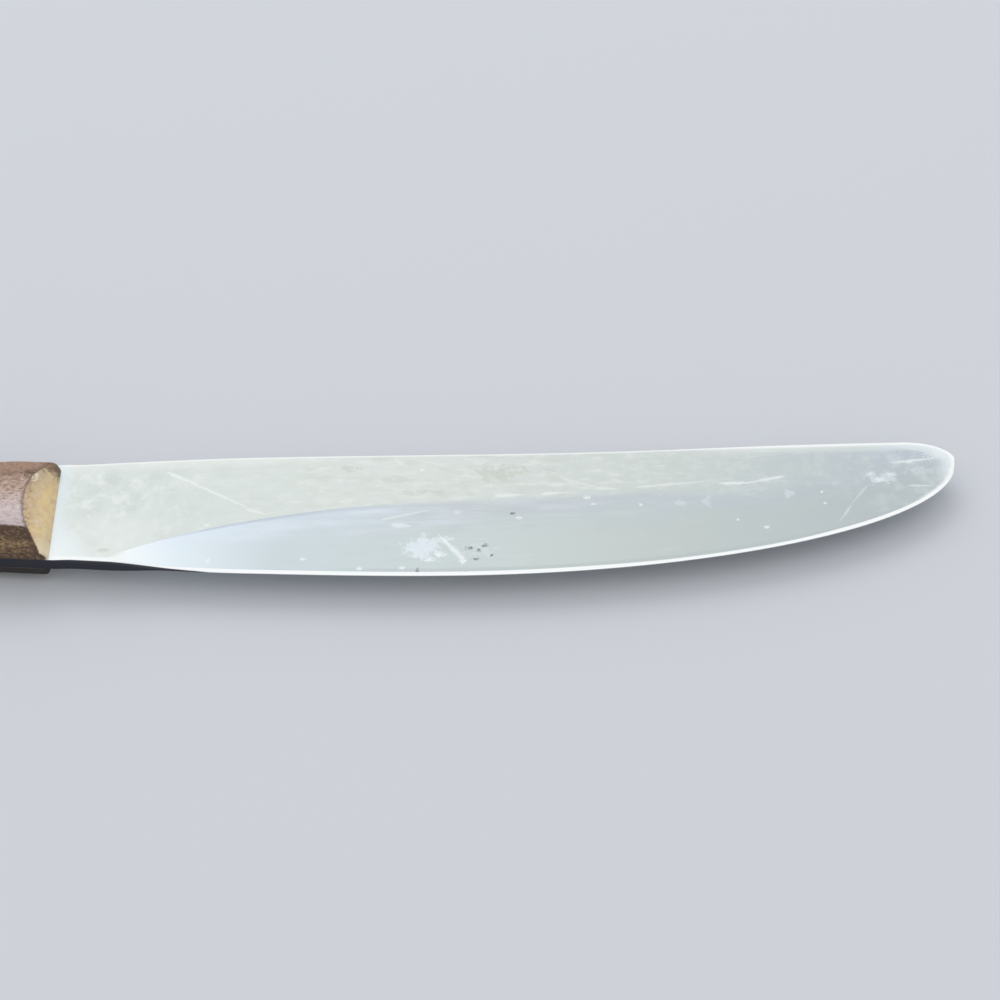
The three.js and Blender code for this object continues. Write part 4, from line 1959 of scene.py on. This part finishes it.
@dataclass
class Rivets:
    """Three cutler's rivets, each a hollow socket half below and a solid pin half above."""

    place: Place
    outline: Outline
    material: Material
    handle_face: float = 3.85
    head_thickness: float = 1.0
    head_radius: float = 3.2
    head_ease: float = 0.12
    dome_radius: float = 0.6
    dome_drop: float = 0.12
    rim_drop: float = 0.3
    rim_foot: float = 1.3
    socket_radius: float = 2.0
    pin_radius: float = 1.2
    pin_point: float = 0.3
    pin_clearance: float = 0.06
    bore_clearance: float = 0.08
    head_clearance: float = 0.05
    end_gap: float = 0.4
    front_inset: float = 17.0
    butt_inset: float = 17.0
    count: int = 3
    sides: int = 64
    merge_gap: float = 0.0005
    weld: float = 1e-7
    crease: float = 35.0
    names: tuple[str, ...] = ("front_rivet", "middle_rivet", "rear_rivet")

    @property
    def spacing(self) -> float:
        """Distance from one rivet to the next."""
        return (self.outline.handle_length - self.front_inset - self.butt_inset) / (self.count - 1)

    @property
    def head_seat(self) -> float:
        """Height of the underside of the heads."""
        return self.handle_face - self.head_thickness

    def places(self) -> list[Point]:
        """Centres of the rivets seen from above."""
        along = [-self.front_inset - self.spacing * i for i in range(self.count)]
        return [(x, float(self.outline.middle(np.array(x)))) for x in along]

    def sizes(self, half: Side) -> dict[str, float]:
        """Sizes of one half that are inputs of its tree.

        Args:
            half: Pin half above or socket half below.

        Returns:
            The sizes by name.
        """
        return {
            "head_radius": self.head_radius,
            "head_ease": self.head_ease,
            "head_face": self.handle_face,
            "head_seat": self.head_seat,
            "shank_radius": self.pin_radius if half is Side.UPPER else self.socket_radius,
            "shank_end": self.end_gap - self.head_seat,
            "point": self.pin_point,
            "bore_radius": self.pin_radius + self.pin_clearance,
            "first_rivet": -self.front_inset,
            "spacing": self.spacing,
        }

    def profile(self, half: Side, size: SimpleNamespace) -> list[tuple[Number, Number]]:
        """Radii and heights round one half, from the middle of its head to the middle of its end.

        Args:
            half: Pin half above or socket half below.
            size: The tree's inputs.

        Returns:
            Points of the turned profile, with the head up.
        """
        head, face, seat = size.head_radius, size.head_face, size.head_seat
        shank, end, bore = size.shank_radius, size.shank_end, size.bore_radius
        points = [
            (0.0, face),
            (head * self.dome_radius, face - size.head_ease * self.dome_drop),
            (head - size.head_ease, face - size.head_ease * self.rim_drop),
            (head, face - size.head_ease * self.rim_foot),
            (head, seat),
            (shank, seat),
        ]
        if half is Side.UPPER:
            return points + [(shank, end + size.point), (shank - size.point, end), (0.0, end)]
        return points + [(shank, end), (bore, end), (bore, seat), (0.0, seat)]

    def tree(self, half: Side) -> Shaping:
        """Turn one half and set it at each rivet's place.

        Args:
            half: Pin half above or socket half below.

        Returns:
            The tree that makes all the rivets of that half.
        """
        tree = Shaping(f"rivet_{RIVET_HALVES[half]}s")
        size = tree.sizes(self.sizes(half))
        points = self.profile(half, size)
        mesh, round_share, row = tree.sheet(self.sides, len(points) - 1)
        radius = bent(row, [r for r, _ in points])
        height = bent(row, [z for _, z in points]) * half.value
        mesh = tree.store(mesh, "turned_radius", radius)
        angle = round_share * (2.0 * math.pi)
        turned = tree.moved(mesh, radius * cosine(angle), radius * sine(angle), height)
        one = tree.merged(turned, self.merge_gap)
        wires = {
            "Count": self.count,
            "Start Location": tree.vector(size.first_rivet, 0.0, 0.0),
            "Offset": tree.vector(size.spacing * -1.0, 0.0, 0.0),
        }
        line = tree.node("GeometryNodeMeshLine", wires).outputs[0]
        x, _, _ = tree.here()
        centred = tree.moved(line, x, self.outline.middle(x), 0.0)
        set_in = tree.node("GeometryNodeInstanceOnPoints", {"Points": centred, "Instance": one})
        tree.finish(set_in.outputs[0], self.place, self.material)
        return tree

    def build(self) -> list[Object]:
        """Make both halves of the rivets and tie them to their nodes.

        Returns:
            The sockets and the pins.
        """
        pieces = []
        for half, name in RIVET_HALVES.items():
            piece = self.tree(half).make(f"rivet_{name}s", self.sizes(half))
            close_up(piece, self.weld)
            shade(piece, self.crease)
            dress(piece, [f"{rivet}_{name}" for rivet in self.names])
            pieces.append(piece)
        return pieces

    def bores(self) -> Object:
        """Make a cutter with the stepped bores that the rivets fill.

        Returns:
            The cutter.
        """
        past = self.handle_face * 2.0
        head = self.head_radius + self.head_clearance
        hole = self.socket_radius + self.bore_clearance
        seat = self.head_seat
        profile = [(head, -past), (head, -seat), (hole, -seat), (hole, seat), (head, seat), (head, past)]
        angles = np.arange(self.sides) * (2.0 * math.pi / self.sides)
        form = bmesh.new()
        for x, y in self.places():
            rings = []
            for radius, z in profile:
                ring_x, ring_y = x + radius * np.cos(angles), y + radius * np.sin(angles)
                rings.append(self.place.points(ring_x, ring_y, np.full(self.sides, z)))
            made = skin(form, rings, closed=True)
            form.faces.new(made[0][::-1])
            form.faces.new(made[-1])
        return add_object("rivet_bores", keep(form, "rivet_bores"))


@dataclass
class Scales:
    """The two wooden handle scales, worn along their edges and bored for the rivets."""

    place: Place
    outline: Outline
    shape: ScaleShape
    rivets: Rivets
    material: Material
    butt_steps: int = 28
    body_step: float = 0.45
    front_step: float = 0.11
    front_length: float = 7.0
    front_square: float = 2.0
    wall_rows: tuple[Point, ...] = ((0.0, 0.0), (0.0, 0.82), (0.03, 0.95))
    insets: tuple[float, ...] = (0.12, 0.35, 0.8, 1.4, 2.0, 2.5, 2.8, 3.0, 3.2, 3.5, 4.0)
    inner_rows: int = 9
    inner_reach: float = 3.0
    lead_run: float = 25.0
    merge_gap: float = 1e-6
    sliver: float = 1e-7
    crease: float = 40.0

    def stations(self) -> np.ndarray:
        """Places along the handle, closer together at both ends.

        Returns:
            The places from the butt to the front.
        """
        line = self.outline
        turn = np.linspace(0.0, math.pi / 2.0, self.butt_steps, endpoint=False)
        butt = -line.handle_length + line.butt_round * (1.0 - np.cos(turn))
        body = np.arange(line.butt_shoulder, -self.front_length, self.body_step)
        front = np.linspace(-self.front_length, 0.0, round(self.front_length / self.front_step) + 1)
        return np.concatenate([butt, body, front])

    def top_row(self, x: np.ndarray, y: np.ndarray, inset: float) -> np.ndarray:
        """Points of a scale's top at one distance in from its outline."""
        height = self.shape.height(x, np.full_like(x, inset), self.outline.off_centre(x, y))
        return np.stack([x, y, height], axis=-1)

    def half_sheet(self, towards: float) -> np.ndarray:
        """Points of a scale from its outline in to its middle line, on one side.

        Args:
            towards: 1 for the spine's side, -1 for the belly's side.

        Returns:
            Points in the knife's frame above the steel, by row and station.
        """
        line, shape = self.outline, self.shape
        x = self.stations()
        rim = shape.far_rim(x, line.spine(x)) if towards > 0 else shape.near_rim(x, line.edge(x))
        run, rise = np.gradient(x), np.gradient(rim)
        length = np.hypot(run, rise)
        leaning = fade(x, -self.front_length, -self.front_square)
        in_x, in_y = towards * rise / length * leaning, -towards * run / length
        wall = shape.height(x, np.zeros_like(x), np.ones_like(x))
        rows = []
        for inset, share in self.wall_rows:
            rows.append(np.stack([x + in_x * inset, rim + in_y * inset, wall * share], axis=-1))
        for inset in self.insets:
            rows.append(self.top_row(x + in_x * inset, rim + in_y * inset, inset))
        inner_x, inner_y, last_inset = rows[-1][:, 0], rows[-1][:, 1], self.insets[-1]
        butt = -line.handle_length
        core_x = x + (last_inset + self.inner_reach) * fade(x, butt, butt + self.lead_run)
        core_y = line.middle(core_x)
        for row in range(1, self.inner_rows + 1):
            share = row / self.inner_rows
            row_x, row_y = between(inner_x, core_x, share), between(inner_y, core_y, share)
            rows.append(self.top_row(row_x, row_y, last_inset + self.inner_reach * share))
        return np.stack(rows)

    def mesh(self, side: Side) -> Mesh:
        """Closed mesh of one scale without its bores.

        Args:
            side: Upper or lower scale.

        Returns:
            The mesh in metres.
        """
        form = bmesh.new()
        for towards in (1.0, -1.0):
            sheet = self.half_sheet(towards)
            z = (sheet[..., 2] + self.shape.half_steel) * side.value
            skin(form, self.place.points(sheet[..., 0], sheet[..., 1], z), closed=False)
        bmesh.ops.remove_doubles(form, verts=form.verts, dist=self.merge_gap)
        bmesh.ops.dissolve_degenerate(form, edges=form.edges, dist=self.sliver)
        bmesh.ops.edgeloop_fill(form, edges=[edge for edge in form.edges if edge.is_boundary])
        bmesh.ops.recalc_face_normals(form, faces=form.faces)
        return keep(form, f"{side.name.lower()}_wood")

    def build(self) -> list[Object]:
        """Make both scales, bore them and tie them to their nodes.

        Returns:
            The upper and the lower scale.
        """
        cutter = self.rivets.bores()
        pieces = []
        for side in Side:
            mesh = self.mesh(side)
            piece = add_object(mesh.name, mesh)
            mesh.materials.append(self.material)
            bore = piece.modifiers.new("bores", "BOOLEAN")
            bore.operation = "DIFFERENCE"
            bore.solver = "EXACT"
            bore.object = cutter
            settle(piece)
            shade(piece, self.crease)
            dress(piece, [f"{side.name.lower()}_scale"])
            pieces.append(piece)
        bpy.data.objects.remove(cutter)
        return pieces


# Where the knife is seen


@dataclass
class Studio:
    """A pale floor, soft light all round with a lamp behind, and the camera, in metres."""

    floor_colour: Colour = srgb(205, 208, 214)
    floor_rough: float = 0.9
    floor_specular: float = 0.1
    floor_size: float = 6.0
    floor_gap: float = 0.00002
    aim: tuple[float, float, float] = (0.050954, 0.001192, 0.0048)
    distance: float = 0.241655
    nearest: float = 0.01
    elevation: float = 51.07
    azimuth: float = -2.269
    lens: float = 65.88
    sensor: float = 36.0
    sky_tint: Colour = (0.985, 0.995, 1.0, 1.0)
    sky_back: float = 1.0
    sky_front: float = 0.72
    sky_towards: Point = (0.55, 0.835)
    sky_blend: Point = (0.05, 0.85)
    lamp_power: float = 2.6
    lamp_size: Point = (0.9, 0.5)
    lamp_place: tuple[float, float, float] = (-0.12, 0.75, 0.8)
    lamp_aim: tuple[float, float, float] = (0.02, 0.0, 0.0)

    @staticmethod
    def stand(item: Object, place: Vector, towards: Vector) -> None:
        """Stand a camera or a lamp at a place, turned in a direction.

        Args:
            item: The camera or lamp.
            place: Where it stands.
            towards: Direction that it looks or shines in.
        """
        item.location = place
        item.rotation_mode = "QUATERNION"
        item.rotation_quaternion = towards.to_track_quat("-Z", "Y")

    def camera(self) -> None:
        """Set the camera at the photograph's viewing angle."""
        turn, tilt = math.radians(self.azimuth), math.radians(self.elevation)
        level = math.cos(tilt)
        back = Vector((math.sin(turn) * level, -math.cos(turn) * level, math.sin(tilt)))
        data = bpy.data.cameras.new("camera")
        data.lens = self.lens
        data.sensor_width = self.sensor
        data.clip_start = self.nearest
        eye = add_object("camera", data)
        self.stand(eye, Vector(self.aim) + back * self.distance, -back)
        bpy.context.scene.camera = eye

    def floor(self) -> None:
        """Lay the pale floor just under the lower scale."""
        half = self.floor_size / 2.0
        corners = [(-half, -half), (half, -half), (half, half), (-half, half)]
        mesh = bpy.data.meshes.new("floor")
        mesh.from_pydata([(x, y, -self.floor_gap) for x, y in corners], [], [(0, 1, 2, 3)])
        material, shader = new_material("pale_floor")
        values = {
            "Base_Color": self.floor_colour,
            "Roughness": self.floor_rough,
            "Specular_IOR_Level": self.floor_specular,
        }
        feed(shader, values)
        mesh.materials.append(material)
        floor = add_object("floor", mesh)

    def sky(self) -> None:
        """Light all round, brighter behind and above the knife than in front of it."""
        world = bpy.data.worlds.new("soft_room")
        world.use_nodes = True
        bpy.context.scene.world = world
        tree = Tree(world.node_tree)
        background = next(node for node in world.node_tree.nodes if node.type == "BACKGROUND")
        _, y, z = tree.split(tree.node("ShaderNodeTexCoord").outputs["Generated"])
        behind = ease(y * self.sky_towards[0] + z * self.sky_towards[1], *self.sky_blend)
        strength = between(self.sky_front, self.sky_back, behind)
        feed(background, {"Color": self.sky_tint, "Strength": strength})

    def lamp(self) -> None:
        """Hang a large soft lamp behind and above, for the shadow on the near side."""
        data = bpy.data.lights.new("back_window", "AREA")
        data.shape = "RECTANGLE"
        data.size, data.size_y = self.lamp_size
        data.energy = self.lamp_power
        lamp = add_object("back_window", data)
        self.stand(lamp, Vector(self.lamp_place), Vector(self.lamp_aim) - Vector(self.lamp_place))
        lamp.visible_glossy = False

    def build(self) -> None:
        """Set up the whole view."""
        bpy.context.scene.view_settings.view_transform = "Standard"
        self.camera()
        self.floor()
        self.sky()
        self.lamp()


def main() -> None:
    """Build the knife piece by piece, then the studio round it."""
    logging.basicConfig(level=logging.INFO, format="%(name)s: %(message)s")
    outline, shape = Outline(), ScaleShape()
    place = Place.from_cad(outline)
    effects = Effects(place)
    blade = Blade(place, outline, SatinSteel(effects, SteelLook()).material)
    rivets = Rivets(place, outline, DullBrass(effects, BrassLook()).material)
    wood = StainedWood(effects, WoodLook(), shape).material
    scales = Scales(place, outline, shape, rivets, wood)
    for made in (blade, rivets, scales):
        for piece in made.build():
            LOG.info("%s: %d faces", piece.name, len(piece.data.polygons))
    Studio().build()


if __name__ == "__main__":
    main()
